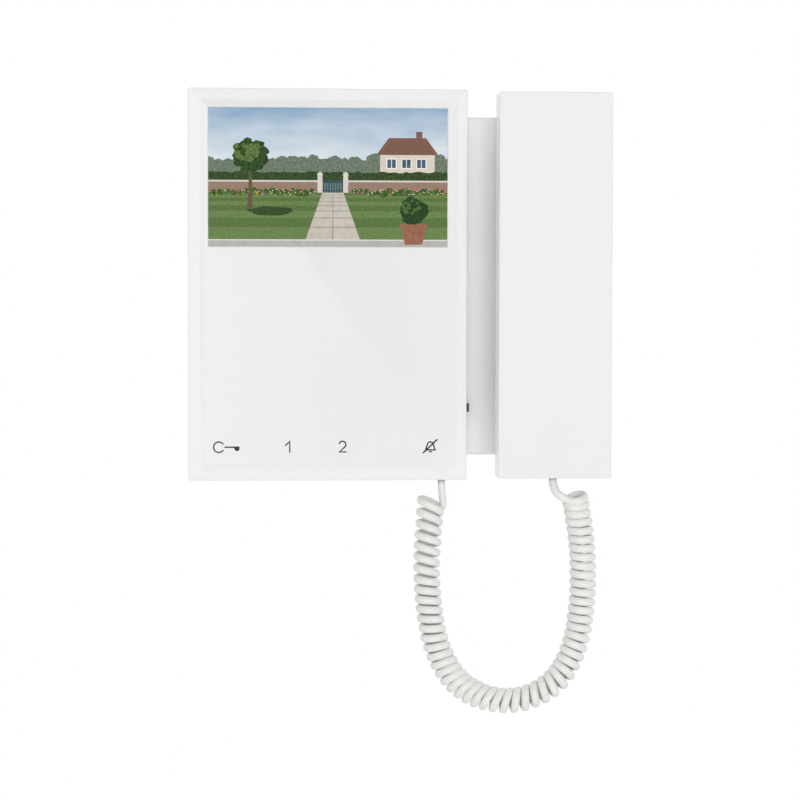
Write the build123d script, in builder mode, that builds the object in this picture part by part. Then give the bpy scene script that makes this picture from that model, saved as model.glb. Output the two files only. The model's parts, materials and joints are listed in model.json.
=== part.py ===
from build123d import *
import os
from math import pi, radians, tan

# Wall-mounted video intercom monitor: a thin monitor, a cradle on its right-hand side, and a
# slab-shaped handset on a curly cord.
# X runs to the right, Z up, and the room is at -Y. The wall is the plane Y = 0, and the origin is
# the middle of the four wall screws. Every "depth" below is a distance from the wall towards the
# room. All sizes are in millimetres.

os.makedirs("parts", exist_ok=True)

# Monitor outline
MONITOR_WIDTH = 112.0
MONITOR_HEIGHT = 157.0
MONITOR_DEPTH = 22.0
BORDER = 7.6  # strip around the face that curves back
BORDER_DROP = 0.75
CORNER_RADIUS = 0.8
EDGE_RADIUS = 0.45
PANEL_WALL = 2.0
SKIRT_WALL = 1.5
SKIRT_BACK = 8.0  # depth at which the front panel's skirt ends
PANEL_BACK = MONITOR_DEPTH - PANEL_WALL

# Rear housing
HOUSING_WIDTH = 108.6
HOUSING_HEIGHT = 153.6
HOUSING_DEPTH = 14.0
HOUSING_WALL = 1.8
WEB_BACK = 4.4
WEB_FRONT = 6.0

# Display
WINDOW_WIDTH = 95.8
WINDOW_HEIGHT = 55.4
WINDOW_Z = 43.1
LCD_WIDTH = 105.5
LCD_HEIGHT = 67.2
LCD_Z = 39.8
LCD_BACK = 15.2

# Circuit board
BOARD_BACK = 10.0
BOARD_FRONT = 11.6

# Mounting plate
PLATE_WIDTH = 80.0
PLATE_HEIGHT = 124.0
PLATE_THICKNESS = 1.2
WALL_SCREW_X = 60.0
WALL_SCREW_Z = 100.0
BOX_SCREW_X = 60.0  # two holes of a round flush-mounted box
SCREW_HOLE_RADIUS = 2.25
CABLE_WIDTH = 40.0
CABLE_HEIGHT = 28.0
HOOK_X = 34.0
HOOK_Z = 40.0

# Cradle
CRADLE_LEFT = 54.3
CRADLE_RIGHT = 111.0
CRADLE_BOTTOM = -68.9
CRADLE_TOP = 68.0
CRADLE_DEPTH = 12.0
CRADLE_SPLIT = 7.9
CRADLE_WALL = 1.8
CRADLE_BACK_WALL = 1.6
CRADLE_CORNER = 1.5
POCKET_FLOOR = 7.0
POCKET_FLOOR_BACK = 5.5

# Handset
HANDSET_X = 89.0
HANDSET_WIDTH = 45.0
HANDSET_HEIGHT = 152.4
HANDSET_FRONT = 44.0
HANDSET_SPLIT = 33.0
HANDSET_BACK = 30.0
HANDSET_WALL = 1.8
POD_Z = 50.5  # height of the earpiece above centre, and of the mouthpiece below it
POD_WIDTH = 34.0
POD_HEIGHT = 27.0
POD_END = 7.5
POD_WALL = 1.5
POD_TAPER = 3.0
VOICE_X = 84.0  # earpiece and microphone
MAGNET_X = 99.5

# Hook plunger
PLUNGER_X = 89.0
PLUNGER_Z = -31.0
PLUNGER_RADIUS = 2.2
FLANGE_BACK = 6.5
FLANGE_FRONT = 7.5

# Ringtone volume slider
SLIDER_Z = -49.5
SLIDER_TRAVEL = 2.0  # either way
SLIDER_HALF_HEIGHT = 1.65

# Cord
CORD_DIAMETER = 3.1
COIL_DIAMETER = 11.2
SOCKET_X = 46.2
SOCKET_DEPTH = 15.3
HANDSET_SOCKET_DEPTH = 37.1
PLUG_WIDTH = 7.6

# Screw and boss positions, as (x, z)
HOUSING_SCREWS = [(-48.5, -2.0), (48.5, -2.0), (-48.5, -34.0), (48.5, -34.0)]
BOARD_SCREWS = [(-46.0, 66.0), (46.0, 66.0), (-46.0, -62.0), (30.0, -66.0)]
CRADLE_SCREWS = [(61.5, 60.0), (61.5, -60.0), (104.0, 24.0), (104.0, -24.0)]
HANDSET_SCREWS = [(HANDSET_X, 32.0), (HANDSET_X, -23.0)]
LINK_SCREW_Z = 50.0
LINK_SCREW_DEPTH = 4.4
LOCK_SCREW_DEPTH = 2.6


def depth_plane(depth):
    """Plane parallel to the wall at a depth, facing the room."""
    return Plane.XZ.offset(depth)


def block(x_range, z_range, depths, mode=Mode.ADD):
    """Box in the open part, between two limits along each axis."""
    (x0, x1), (z0, z1), (d0, d1) = x_range, z_range, depths
    with Locations(((x0 + x1) / 2, -(d0 + d1) / 2, (z0 + z1) / 2)):
        Box(x1 - x0, d1 - d0, z1 - z0, mode=mode)


def disc(centre, radius, depths, mode=Mode.ADD):
    """Cylinder in the open part, with its axis square to the wall."""
    d0, d1 = depths
    with Locations((centre[0], -(d0 + d1) / 2, centre[1])):
        Cylinder(radius, d1 - d0, rotation=(90, 0, 0), mode=mode)


def rod_x(x_range, z, depth, radius, mode=Mode.ADD):
    """Cylinder in the open part, with its axis along X."""
    x0, x1 = x_range
    with Locations(((x0 + x1) / 2, -depth, z)):
        Cylinder(radius, x1 - x0, rotation=(0, 90, 0), mode=mode)


def rod_z(x, z_range, depth, radius, mode=Mode.ADD):
    """Cylinder in the open part, with its axis along Z."""
    z0, z1 = z_range
    with Locations((x, -depth, (z0 + z1) / 2)):
        Cylinder(radius, z1 - z0, mode=mode)


def pan_screws(centres, head_depths, head_radius, shank_depths, shank_radius):
    """Identical screws square to the wall, each one solid."""
    with BuildPart() as screws:
        for centre in centres:
            disc(centre, head_radius, head_depths)
            disc(centre, shank_radius, shank_depths)
    return screws


def slider_slot(clearance):
    """Limits along Z of a slot that the volume slider runs in."""
    reach = SLIDER_HALF_HEIGHT + SLIDER_TRAVEL + clearance
    return (SLIDER_Z - reach, SLIDER_Z + reach)


def finish(piece, name):
    """Label a finished piece and write its STEP file."""
    piece.part.label = name
    export_step(piece.part, f"parts/{name}.step")


# ---------------------------------------------------------------- mounting plate

# Steel plate on the wall. Four hooks stand out of it and grip the rear housing's web, and a bent
# tongue at the bottom takes the lock screw.
HOOK_LIP = (6.3, 7.6)
TONGUE_HALF_WIDTH = 8.0
TONGUE_Z = -74.6

with BuildPart() as mounting_plate:
    with BuildSketch(depth_plane(0)):
        RectangleRounded(PLATE_WIDTH, PLATE_HEIGHT, 4)
        with Locations((0, (TONGUE_Z - PLATE_HEIGHT / 2 + 2) / 2)):
            Rectangle(2 * TONGUE_HALF_WIDTH, -TONGUE_Z - PLATE_HEIGHT / 2 + 2)
        RectangleRounded(CABLE_WIDTH, CABLE_HEIGHT, 3, mode=Mode.SUBTRACT)
        with GridLocations(WALL_SCREW_X, WALL_SCREW_Z, 2, 2):
            Circle(SCREW_HOLE_RADIUS, mode=Mode.SUBTRACT)
        with GridLocations(BOX_SCREW_X, 1, 2, 1):
            Circle(SCREW_HOLE_RADIUS, mode=Mode.SUBTRACT)
    extrude(amount=PLATE_THICKNESS)
    block((-TONGUE_HALF_WIDTH, TONGUE_HALF_WIDTH), (TONGUE_Z, TONGUE_Z + 1.2), (0, 4.2))
    rod_z(0, (TONGUE_Z - 1, TONGUE_Z + 2), LOCK_SCREW_DEPTH, 1.3, mode=Mode.SUBTRACT)
    for hook_x in (-HOOK_X, HOOK_X):
        for hook_z in (-HOOK_Z, HOOK_Z):
            sides = (hook_x - PLATE_THICKNESS / 2, hook_x + PLATE_THICKNESS / 2)
            block(sides, (hook_z - 2.5, hook_z + 1.5), (0, HOOK_LIP[1]))
            block(sides, (hook_z + 1.5, hook_z + 4.5), HOOK_LIP)
finish(mounting_plate, "mounting_plate")

# ---------------------------------------------------------------- rear housing

# Tray with a web across its middle: the mounting plate and the wall screws' heads sit behind the
# web, and the electronics in front of it.
HOUSING_INSIDE = (HOUSING_WIDTH - 2 * HOUSING_WALL, HOUSING_HEIGHT - 2 * HOUSING_WALL)
HOUSING_SIDE = (HOUSING_WIDTH / 2 - HOUSING_WALL - 0.1, HOUSING_WIDTH / 2 + 0.1)
HOUSING_TOP = (HOUSING_HEIGHT / 2 - HOUSING_WALL - 0.1, HOUSING_HEIGHT / 2 + 0.1)
HOUSING_BOTTOM = (-HOUSING_TOP[1], -HOUSING_TOP[0])
LUG_X = 30.0
LUG_HALF_WIDTH = 5.5
WIRE_Z = (-12.5, -7.5)
WIRE_DEPTHS = (6.4, 7.3)

with BuildPart() as rear_housing:
    with BuildSketch(depth_plane(0)):
        RectangleRounded(HOUSING_WIDTH, HOUSING_HEIGHT, CORNER_RADIUS)
    extrude(amount=HOUSING_DEPTH)
    with BuildSketch(depth_plane(0)):
        Rectangle(*HOUSING_INSIDE)
    extrude(amount=WEB_BACK, mode=Mode.SUBTRACT)
    with BuildSketch(depth_plane(WEB_FRONT)):
        Rectangle(*HOUSING_INSIDE)
    extrude(amount=HOUSING_DEPTH - WEB_FRONT, mode=Mode.SUBTRACT)
    # Cable opening, and slots for the plate's hooks
    with BuildSketch(depth_plane(WEB_BACK)):
        RectangleRounded(CABLE_WIDTH, CABLE_HEIGHT, 3)
        with GridLocations(2 * HOOK_X, 2 * HOOK_Z, 2, 2):
            with Locations((0, -2.2)):
                Rectangle(2.2, 7.6)
    extrude(amount=WEB_FRONT - WEB_BACK, mode=Mode.SUBTRACT)
    # Posts under the circuit board, and holes for the screws that hold the front panel
    for post in BOARD_SCREWS:
        disc(post, 3.0, (WEB_FRONT, BOARD_BACK))
        disc(post, 1.05, (WEB_FRONT, BOARD_BACK), mode=Mode.SUBTRACT)
    for hole in HOUSING_SCREWS:
        disc(hole, 1.7, (WEB_BACK, WEB_FRONT), mode=Mode.SUBTRACT)
    # Blocks that take the cradle's link screws
    for link_z in (-LINK_SCREW_Z, LINK_SCREW_Z):
        block((48, HOUSING_SIDE[0] + 0.2), (link_z - 3.5, link_z + 3.5), (1, WEB_FRONT + 1.8))
        rod_x((48, 55), link_z, LINK_SCREW_DEPTH, 1.3, mode=Mode.SUBTRACT)
    # Cut-outs in the rim: lock screw, cord socket, volume slider, cradle wires, snap lugs
    rod_z(0, HOUSING_BOTTOM, LOCK_SCREW_DEPTH, 1.35, mode=Mode.SUBTRACT)
    block((SOCKET_X - 5.8, SOCKET_X + 5.8), HOUSING_BOTTOM, (11.4, 15), mode=Mode.SUBTRACT)
    block(HOUSING_SIDE, slider_slot(0.65), (12.8, 15), mode=Mode.SUBTRACT)
    block(HOUSING_SIDE, (WIRE_Z[0] - 0.3, WIRE_Z[1] + 0.3), (6.2, 7.5), mode=Mode.SUBTRACT)
    for lug_x in (-LUG_X, LUG_X):
        lug_sides = (lug_x - LUG_HALF_WIDTH - 0.5, lug_x + LUG_HALF_WIDTH + 0.5)
        block(lug_sides, HOUSING_TOP, (9.0, 11.5), mode=Mode.SUBTRACT)
finish(rear_housing, "rear_housing")

# ---------------------------------------------------------------- front panel

# Glossy one-piece face. Its border curves back on all four sides and meets in mitres at the
# corners, because the two sections are crossed.
CAVITY_HALF_WIDTH = MONITOR_WIDTH / 2 - SKIRT_WALL
CAVITY_HALF_HEIGHT = MONITOR_HEIGHT / 2 - SKIRT_WALL
PANEL_BOTTOM = (-MONITOR_HEIGHT / 2 - 0.1, -CAVITY_HALF_HEIGHT + 0.1)
ACROSS = Plane(origin=(0, 0, MONITOR_HEIGHT / 2), x_dir=(1, 0, 0), z_dir=(0, 0, -1))
UPWARD = Plane(origin=(-MONITOR_WIDTH / 2, 0, 0), x_dir=(0, 0, 1), z_dir=(1, 0, 0))
SPEAKER_SLOTS = [-44 + 4 * i for i in range(8)]
SPEAKER = (-26.0, -36.0)


def crowned_section(half_width):
    """Section of the face: flat in the middle, curving back over the border on both sides."""
    flat, edge = half_width - BORDER, MONITOR_DEPTH - BORDER_DROP
    with BuildSketch() as section:
        with BuildLine():
            Line((-flat, MONITOR_DEPTH), (flat, MONITOR_DEPTH))
            TangentArc((flat, MONITOR_DEPTH), (half_width, edge), tangent=(1, 0))
            Line((half_width, edge), (half_width, SKIRT_BACK))
            Line((half_width, SKIRT_BACK), (-half_width, SKIRT_BACK))
            Line((-half_width, SKIRT_BACK), (-half_width, edge))
            TangentArc((-flat, MONITOR_DEPTH), (-half_width, edge), tangent=(-1, 0))
        make_face()
        rims = [v for v in section.vertices() if abs(v.Y - edge) < 0.01]
        fillet(rims, EDGE_RADIUS)
    return section.sketch


with BuildPart() as front_panel:
    with BuildSketch(ACROSS):
        add(crowned_section(MONITOR_WIDTH / 2))
    extrude(amount=MONITOR_HEIGHT)
    with BuildSketch(UPWARD):
        add(crowned_section(MONITOR_HEIGHT / 2))
    extrude(amount=MONITOR_WIDTH, mode=Mode.INTERSECT)
    with BuildSketch(depth_plane(SKIRT_BACK)):
        RectangleRounded(MONITOR_WIDTH, MONITOR_HEIGHT, CORNER_RADIUS)
    extrude(amount=MONITOR_DEPTH, mode=Mode.INTERSECT)
    with BuildSketch(depth_plane(SKIRT_BACK)):
        Rectangle(2 * CAVITY_HALF_WIDTH, 2 * CAVITY_HALF_HEIGHT)
    extrude(amount=PANEL_BACK - SKIRT_BACK, mode=Mode.SUBTRACT)
    # Display window with a fine chamfer around it
    with BuildSketch(depth_plane(PANEL_BACK)):
        with Locations((0, WINDOW_Z)):
            Rectangle(WINDOW_WIDTH, WINDOW_HEIGHT)
    extrude(amount=PANEL_WALL + 0.1, mode=Mode.SUBTRACT)
    with BuildSketch(depth_plane(MONITOR_DEPTH)):
        with Locations((0, WINDOW_Z)):
            Rectangle(WINDOW_WIDTH + 0.6, WINDOW_HEIGHT + 0.6)
    extrude(amount=-0.3, taper=45, mode=Mode.SUBTRACT)
    # Screw bosses, and snap lugs behind the top edge
    for boss in HOUSING_SCREWS:
        disc(boss, 3.5, (WEB_FRONT, PANEL_BACK + 0.1))
        disc(boss, 1.25, (WEB_FRONT, 15), mode=Mode.SUBTRACT)
    for lug_x in (-LUG_X, LUG_X):
        lug_sides = (lug_x - LUG_HALF_WIDTH, lug_x + LUG_HALF_WIDTH)
        block(lug_sides, (75.7, CAVITY_HALF_HEIGHT + 0.1), (9.4, 11.1))
    # Openings in the skirt: sound slots, cord plug, volume slider
    for slot_x in SPEAKER_SLOTS:
        block((slot_x - 1, slot_x + 1), PANEL_BOTTOM, (14.6, 19.4), mode=Mode.SUBTRACT)
    plug_depths = (SOCKET_DEPTH - 3.2, SOCKET_DEPTH + 3.2)
    block((SOCKET_X - 4.1, SOCKET_X + 4.1), PANEL_BOTTOM, plug_depths, mode=Mode.SUBTRACT)
    block((54.4, 56.1), slider_slot(0.45), (13.2, 16.2), mode=Mode.SUBTRACT)
finish(front_panel, "front_panel")

# ---------------------------------------------------------------- display

with BuildPart() as display_lens:
    with BuildSketch(depth_plane(19)):
        with Locations((0, WINDOW_Z)):
            Rectangle(WINDOW_WIDTH + 3.2, WINDOW_HEIGHT + 3.2)
    extrude(amount=1)
    with BuildSketch(depth_plane(PANEL_BACK)):
        with Locations((0, WINDOW_Z)):
            Rectangle(WINDOW_WIDTH - 0.2, WINDOW_HEIGHT - 0.2)
    extrude(amount=1.65)
finish(display_lens, "display_lens")

with BuildPart() as display_gasket:
    with BuildSketch(depth_plane(18.3)):
        with Locations((0, WINDOW_Z)):
            Rectangle(WINDOW_WIDTH + 3.2, WINDOW_HEIGHT + 3.2)
            Rectangle(WINDOW_WIDTH + 0.6, WINDOW_HEIGHT + 0.6, mode=Mode.SUBTRACT)
    extrude(amount=0.7)
finish(display_gasket, "display_gasket")

# Pressed steel frame around the liquid-crystal module
FRAME_SHEET = 0.3
with BuildPart() as lcd_bezel_frame:
    with BuildSketch(depth_plane(LCD_BACK)):
        with Locations((0, LCD_Z)):
            Rectangle(LCD_WIDTH, LCD_HEIGHT)
    extrude(amount=3.1)
    with BuildSketch(depth_plane(LCD_BACK)):
        with Locations((0, LCD_Z)):
            Rectangle(LCD_WIDTH - 2 * FRAME_SHEET, LCD_HEIGHT - 2 * FRAME_SHEET)
    extrude(amount=2.8, mode=Mode.SUBTRACT)
    with BuildSketch(depth_plane(18)):
        with Locations((0, WINDOW_Z)):
            Rectangle(WINDOW_WIDTH + 1.2, WINDOW_HEIGHT + 1.2)
    extrude(amount=1, mode=Mode.SUBTRACT)
    # Notch for the flat cable
    block((-12.5, 12.5), (6, 6.6), (LCD_BACK, 16.2), mode=Mode.SUBTRACT)
finish(lcd_bezel_frame, "lcd_bezel_frame")

GLASS_WIDTH = LCD_WIDTH - 2 * FRAME_SHEET - 0.2
GLASS_HEIGHT = LCD_HEIGHT - 2 * FRAME_SHEET - 0.2
with BuildPart() as lcd_glass:
    with BuildSketch(depth_plane(16.8)):
        with Locations((0, LCD_Z)):
            Rectangle(GLASS_WIDTH, GLASS_HEIGHT)
    extrude(amount=1.2)
finish(lcd_glass, "lcd_glass")

with BuildPart() as lcd_backlight:
    with BuildSketch(depth_plane(LCD_BACK)):
        with Locations((0, LCD_Z)):
            Rectangle(GLASS_WIDTH, GLASS_HEIGHT)
    extrude(amount=1.6)
finish(lcd_backlight, "lcd_backlight")

# Flat cable from the module's lower edge to its connector on the board. Points are (Y, Z).
with BuildPart() as lcd_ribbon_cable:
    with BuildSketch(Plane.YZ.offset(-12)):
        with BuildLine():
            face_side = [(-15.9, 6.5), (-15.9, 0.5), (-12.9, -4.0)]
            wall_side = [(-12.5, -4.0), (-15.5, 0.6), (-15.5, 6.5)]
            Polyline(*face_side, *wall_side, close=True)
        make_face()
    extrude(amount=24)
finish(lcd_ribbon_cable, "lcd_ribbon_cable")

# ---------------------------------------------------------------- touch keys

KEY_Z = -65.0
KEY_X = [-40.0, -16.0, 6.0, 36.5]
LED_BACK = 18.5
with BuildPart() as touch_board:
    with BuildSketch(depth_plane(19.2)):
        with Locations((0, KEY_Z)):
            RectangleRounded(94, 18, 1)
    extrude(amount=PANEL_BACK - 19.2)
finish(touch_board, "touch_board")

with BuildPart() as key_leds:
    for led_x in KEY_X:
        block((led_x - 0.8, led_x + 0.8), (KEY_Z + 2.6, KEY_Z + 3.4), (LED_BACK, 19.2))
finish(key_leds, "key_leds")

# Flat cable from the touch board to the main board. Points are (Y, Z).
with BuildPart() as touch_ribbon_cable:
    with BuildSketch(Plane.YZ.offset(14)):
        with BuildLine():
            face_side = [(-19.2, -59), (-19.2, -55), (-13.2, -52)]
            wall_side = [(-12.8, -52), (-18.8, -55.4), (-18.8, -59)]
            Polyline(*face_side, *wall_side, close=True)
        make_face()
    extrude(amount=8)
finish(touch_ribbon_cable, "touch_ribbon_cable")

# ---------------------------------------------------------------- main board

with BuildPart() as main_circuit_board:
    with BuildSketch(depth_plane(BOARD_BACK)):
        RectangleRounded(104, 149, 2)
        with Locations(*HOUSING_SCREWS):
            Circle(4.2, mode=Mode.SUBTRACT)
        with Locations(*BOARD_SCREWS):
            Circle(1.25, mode=Mode.SUBTRACT)
    extrude(amount=BOARD_FRONT - BOARD_BACK)
finish(main_circuit_board, "main_circuit_board")

with BuildPart() as board_chips:
    # Processor, memory and video decoder
    block((-7, 7), (33, 47), (BOARD_FRONT, 13.0))
    block((15, 27), (35, 45), (BOARD_FRONT, 12.8))
    block((-5, 5), (14, 24), (BOARD_FRONT, 12.8))
    # Power inductors and capacitors
    for coil_z in (44, 55):
        block((-34, -26), (coil_z - 4, coil_z + 4), (BOARD_FRONT, 14.6))
    for can_z in (-20, -30):
        disc((22, can_z), 4, (BOARD_FRONT, 19))
    # Audio amplifier
    block((-4, 2), (-33, -28), (BOARD_FRONT, 13.1))
    # Connectors of the display cable, the touch cable and, on the back, the cradle's wires
    block((-14, 14), (-9, -4), (BOARD_FRONT, 13.6))
    block((13, 23), (-52, -48), (BOARD_FRONT, 13.6))
    block((42, 46), (WIRE_Z[0] - 1, WIRE_Z[1] + 1), (WIRE_DEPTHS[0] - 0.2, BOARD_BACK))
finish(board_chips, "board_chips")

TERMINAL_X = [-9, -3, 3, 9]
TERMINAL_Z = 7.8
with BuildPart() as terminal_block:
    block((-12, 12), (3.6, 12), (3.4, BOARD_BACK))
    for terminal_x in TERMINAL_X:
        disc((terminal_x, TERMINAL_Z), 1.8, (3.4, 6.2), mode=Mode.SUBTRACT)
        block((terminal_x - 1.3, terminal_x + 1.3), (3.5, 6), (6.6, 9.2), mode=Mode.SUBTRACT)
finish(terminal_block, "terminal_block")

# Flush cheese-head screws with a slot
with BuildPart() as terminal_screws:
    for terminal_x in TERMINAL_X:
        disc((terminal_x, TERMINAL_Z), 1.65, (4.0, 6.2))
        slot_z = (TERMINAL_Z - 0.25, TERMINAL_Z + 0.25)
        block((terminal_x - 2, terminal_x + 2), slot_z, (3.9, 4.6), mode=Mode.SUBTRACT)
finish(terminal_screws, "terminal_screws")

# ---------------------------------------------------------------- ringtone loudspeaker

with BuildPart() as ringtone_speaker:
    disc(SPEAKER, 14, (16.6, 18.6))
    disc(SPEAKER, 11.5, (13.6, 16.6))
    disc(SPEAKER, 8, (12.2, 13.6))
    disc(SPEAKER, 12.4, (17.0, 18.7), mode=Mode.SUBTRACT)
    disc(SPEAKER, 10.2, (14.6, 17.1), mode=Mode.SUBTRACT)
finish(ringtone_speaker, "ringtone_speaker")

# Paper cone with its dust cap: an open funnel 0.4 mm thick
with BuildPart() as speaker_cone:
    with BuildSketch(Plane(origin=(SPEAKER[0], 0, SPEAKER[1]), x_dir=(1, 0, 0), z_dir=(0, 0, 1))):
        with BuildLine():
            back_side = [(0, -16.0), (3.6, -15.2), (9.4, -17.4), (12.2, -17.4)]
            front_side = [(12.2, -17.9), (9.3, -17.9), (3.6, -15.7), (0, -16.5)]
            Polyline(*back_side, *front_side, close=True)
        make_face()
    revolve(axis=Axis((SPEAKER[0], 0, SPEAKER[1]), (0, 1, 0)))
finish(speaker_cone, "speaker_cone")

with BuildPart() as speaker_gasket:
    disc(SPEAKER, 14, (18.6, PANEL_BACK))
    disc(SPEAKER, 12.4, (18.5, 20.1), mode=Mode.SUBTRACT)
finish(speaker_gasket, "speaker_gasket")

# ---------------------------------------------------------------- ringtone volume switch

SWITCH_DEPTHS = (BOARD_FRONT, 16.6)
SLIDER_DEPTHS = (13.7, 15.7)
with BuildPart() as volume_switch:
    block((45.4, 52), (SLIDER_Z - 5.5, SLIDER_Z + 5.5), SWITCH_DEPTHS)
    block((47.8, 52.1), slider_slot(0.35), (13.4, 16.0), mode=Mode.SUBTRACT)
finish(volume_switch, "volume_switch")

with BuildPart() as volume_slider:
    slider_height = (SLIDER_Z - SLIDER_HALF_HEIGHT, SLIDER_Z + SLIDER_HALF_HEIGHT)
    block((48.2, 57.5), slider_height, SLIDER_DEPTHS)
    # Finger grooves on the tip
    for groove_z in (SLIDER_Z - 0.75, SLIDER_Z, SLIDER_Z + 0.75):
        block((57.25, 57.6), (groove_z - 0.15, groove_z + 0.15), (13.6, 15.8), mode=Mode.SUBTRACT)
finish(volume_slider, "volume_slider")

# ---------------------------------------------------------------- cradle

# The base lies on the wall beside the monitor. The cover has a pocket for the earpiece pod and
# one for the mouthpiece pod, and a hole for the hook plunger.
POCKET_WIDTH = POD_WIDTH + 1.6
POCKET_HEIGHT = POD_HEIGHT + 1.6
POCKET_WALL = 1.4
CRADLE_INSIDE_X = (CRADLE_LEFT + CRADLE_WALL, CRADLE_RIGHT - CRADLE_WALL)
CRADLE_INSIDE_Z = (CRADLE_BOTTOM + CRADLE_WALL, CRADLE_TOP - CRADLE_WALL)
CRADLE_HEIGHT = CRADLE_TOP - CRADLE_BOTTOM
CRADLE_MIDDLE = (CRADLE_TOP + CRADLE_BOTTOM) / 2
COVER_LEFT = MONITOR_WIDTH / 2 + 0.2
COVER_WIDTH = CRADLE_RIGHT - COVER_LEFT
COVER_X = (CRADLE_RIGHT + COVER_LEFT) / 2
COVER_BACK = CRADLE_DEPTH - CRADLE_WALL
SCREW_SEAT = 2.4  # depth of the cradle screws' counterbores
SPRING_DEPTHS = (6.15, 6.4)
CRADLE_BOARD_DEPTHS = (3.2, 4.8)

with BuildPart() as cradle_base:
    block((CRADLE_LEFT, CRADLE_RIGHT), (CRADLE_BOTTOM, CRADLE_TOP), (0, CRADLE_SPLIT))
    fillet(cradle_base.edges().filter_by(Axis.Y).group_by(Axis.X)[-1], CRADLE_CORNER)
    block(CRADLE_INSIDE_X, CRADLE_INSIDE_Z, (CRADLE_BACK_WALL, CRADLE_SPLIT + 0.1), mode=Mode.SUBTRACT)
    for centre in CRADLE_SCREWS:
        disc(centre, 4.2, (CRADLE_BACK_WALL, 4.0))
        disc(centre, 2.9, (-0.1, SCREW_SEAT), mode=Mode.SUBTRACT)
        disc(centre, 1.6, (SCREW_SEAT, 4.1), mode=Mode.SUBTRACT)
    # Seats of the magnets, post of the leaf spring, posts of the small board
    for magnet_z in (-POD_Z, POD_Z):
        disc((MAGNET_X, magnet_z), 5.4, (CRADLE_BACK_WALL, 3.4))
        disc((MAGNET_X, magnet_z), 5.05, (2.6, 3.5), mode=Mode.SUBTRACT)
    block((64, 69.4), (PLUNGER_Z - 3, PLUNGER_Z + 3), (CRADLE_BACK_WALL, SPRING_DEPTHS[0]))
    for post in ((66, -4), (66, 14), (96, -8), (96, 14)):
        disc(post, 2.5, (CRADLE_BACK_WALL, CRADLE_BOARD_DEPTHS[0]))
    # Holes in the side wall for the link screws and the wires
    for link_z in (-LINK_SCREW_Z, LINK_SCREW_Z):
        rod_x((54, 57), link_z, LINK_SCREW_DEPTH, 1.65, mode=Mode.SUBTRACT)
    block((54, 57), (WIRE_Z[0] - 0.3, WIRE_Z[1] + 0.3), (6.2, 7.5), mode=Mode.SUBTRACT)
finish(cradle_base, "cradle_base")

with BuildPart() as cradle_cover:
    with BuildSketch(depth_plane(CRADLE_SPLIT)):
        with Locations((COVER_X, CRADLE_MIDDLE)):
            Rectangle(COVER_WIDTH, CRADLE_HEIGHT)
    extrude(amount=CRADLE_DEPTH - CRADLE_SPLIT)
    # The edge that meets the monitor's side stays sharp
    fillet(cradle_cover.edges().filter_by(Axis.Y).group_by(Axis.X)[-1], CRADLE_CORNER)
    chamfer(cradle_cover.faces().sort_by(Axis.Y)[0].edges().sort_by(Axis.X)[1:], 1.0)
    with BuildSketch(depth_plane(CRADLE_SPLIT)):
        with Locations((COVER_X, CRADLE_MIDDLE)):
            Rectangle(COVER_WIDTH - 2 * CRADLE_WALL, CRADLE_HEIGHT - 2 * CRADLE_WALL)
    extrude(amount=COVER_BACK - CRADLE_SPLIT, mode=Mode.SUBTRACT)
    # Screw bosses
    for centre in CRADLE_SCREWS:
        disc(centre, 3.5, (4.0, COVER_BACK + 0.1))
        disc(centre, 1.1, (4.0, 10.0), mode=Mode.SUBTRACT)
    # Pockets, with a softened rim
    with BuildSketch(depth_plane(POCKET_FLOOR_BACK)):
        with Locations((HANDSET_X, -POD_Z), (HANDSET_X, POD_Z)):
            RectangleRounded(POCKET_WIDTH + 2 * POCKET_WALL, POCKET_HEIGHT + 2 * POCKET_WALL, 10)
    extrude(amount=COVER_BACK + 0.1 - POCKET_FLOOR_BACK)
    with BuildSketch(depth_plane(POCKET_FLOOR)):
        with Locations((HANDSET_X, -POD_Z), (HANDSET_X, POD_Z)):
            RectangleRounded(POCKET_WIDTH, POCKET_HEIGHT, 9)
    extrude(amount=CRADLE_DEPTH - POCKET_FLOOR + 1, mode=Mode.SUBTRACT)
    disc((PLUNGER_X, PLUNGER_Z), PLUNGER_RADIUS + 0.15, (10, 13), mode=Mode.SUBTRACT)
finish(cradle_cover, "cradle_cover")

with BuildPart() as cradle_magnets:
    for magnet_z in (-POD_Z, POD_Z):
        disc((MAGNET_X, magnet_z), 5, (2.6, 5.4))
finish(cradle_magnets, "cradle_magnets")

with BuildPart() as cradle_board:
    block((62, 100), (-14, 18), CRADLE_BOARD_DEPTHS)
    block((62, 66.5), (WIRE_Z[0] - 1, WIRE_Z[1] + 1), (4.8, 8.2))
    block((80, 88), (0, 5), (4.8, 6.2))
finish(cradle_board, "cradle_board")

# Flat four-wire cable between the two boards
with BuildPart() as cradle_wires:
    for i in range(4):
        wire_z = WIRE_Z[0] + 0.625 + 1.25 * i
        rod_x((46, 62), wire_z, (WIRE_DEPTHS[0] + WIRE_DEPTHS[1]) / 2, 0.45)
    block((46, 62), (WIRE_Z[0] + 0.625, WIRE_Z[1] - 0.625), (6.7, 7.0))
finish(cradle_wires, "cradle_wires")

# The plunger's round shaft stands out of the cover, and its flange presses the switch and rests
# on the leaf spring.
with BuildPart() as hook_plunger:
    disc((PLUNGER_X, PLUNGER_Z), PLUNGER_RADIUS, (FLANGE_FRONT - 0.5, 12.9))
    fillet(hook_plunger.edges().sort_by(Axis.Y)[0], 0.6)
    block((85.5, 97.5), (PLUNGER_Z - 2.8, PLUNGER_Z + 2.8), (FLANGE_BACK, FLANGE_FRONT))
finish(hook_plunger, "hook_plunger")

with BuildPart() as hook_leaf_spring:
    block((64.4, 91), (PLUNGER_Z - 2, PLUNGER_Z + 2), SPRING_DEPTHS)
finish(hook_leaf_spring, "hook_leaf_spring")

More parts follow.
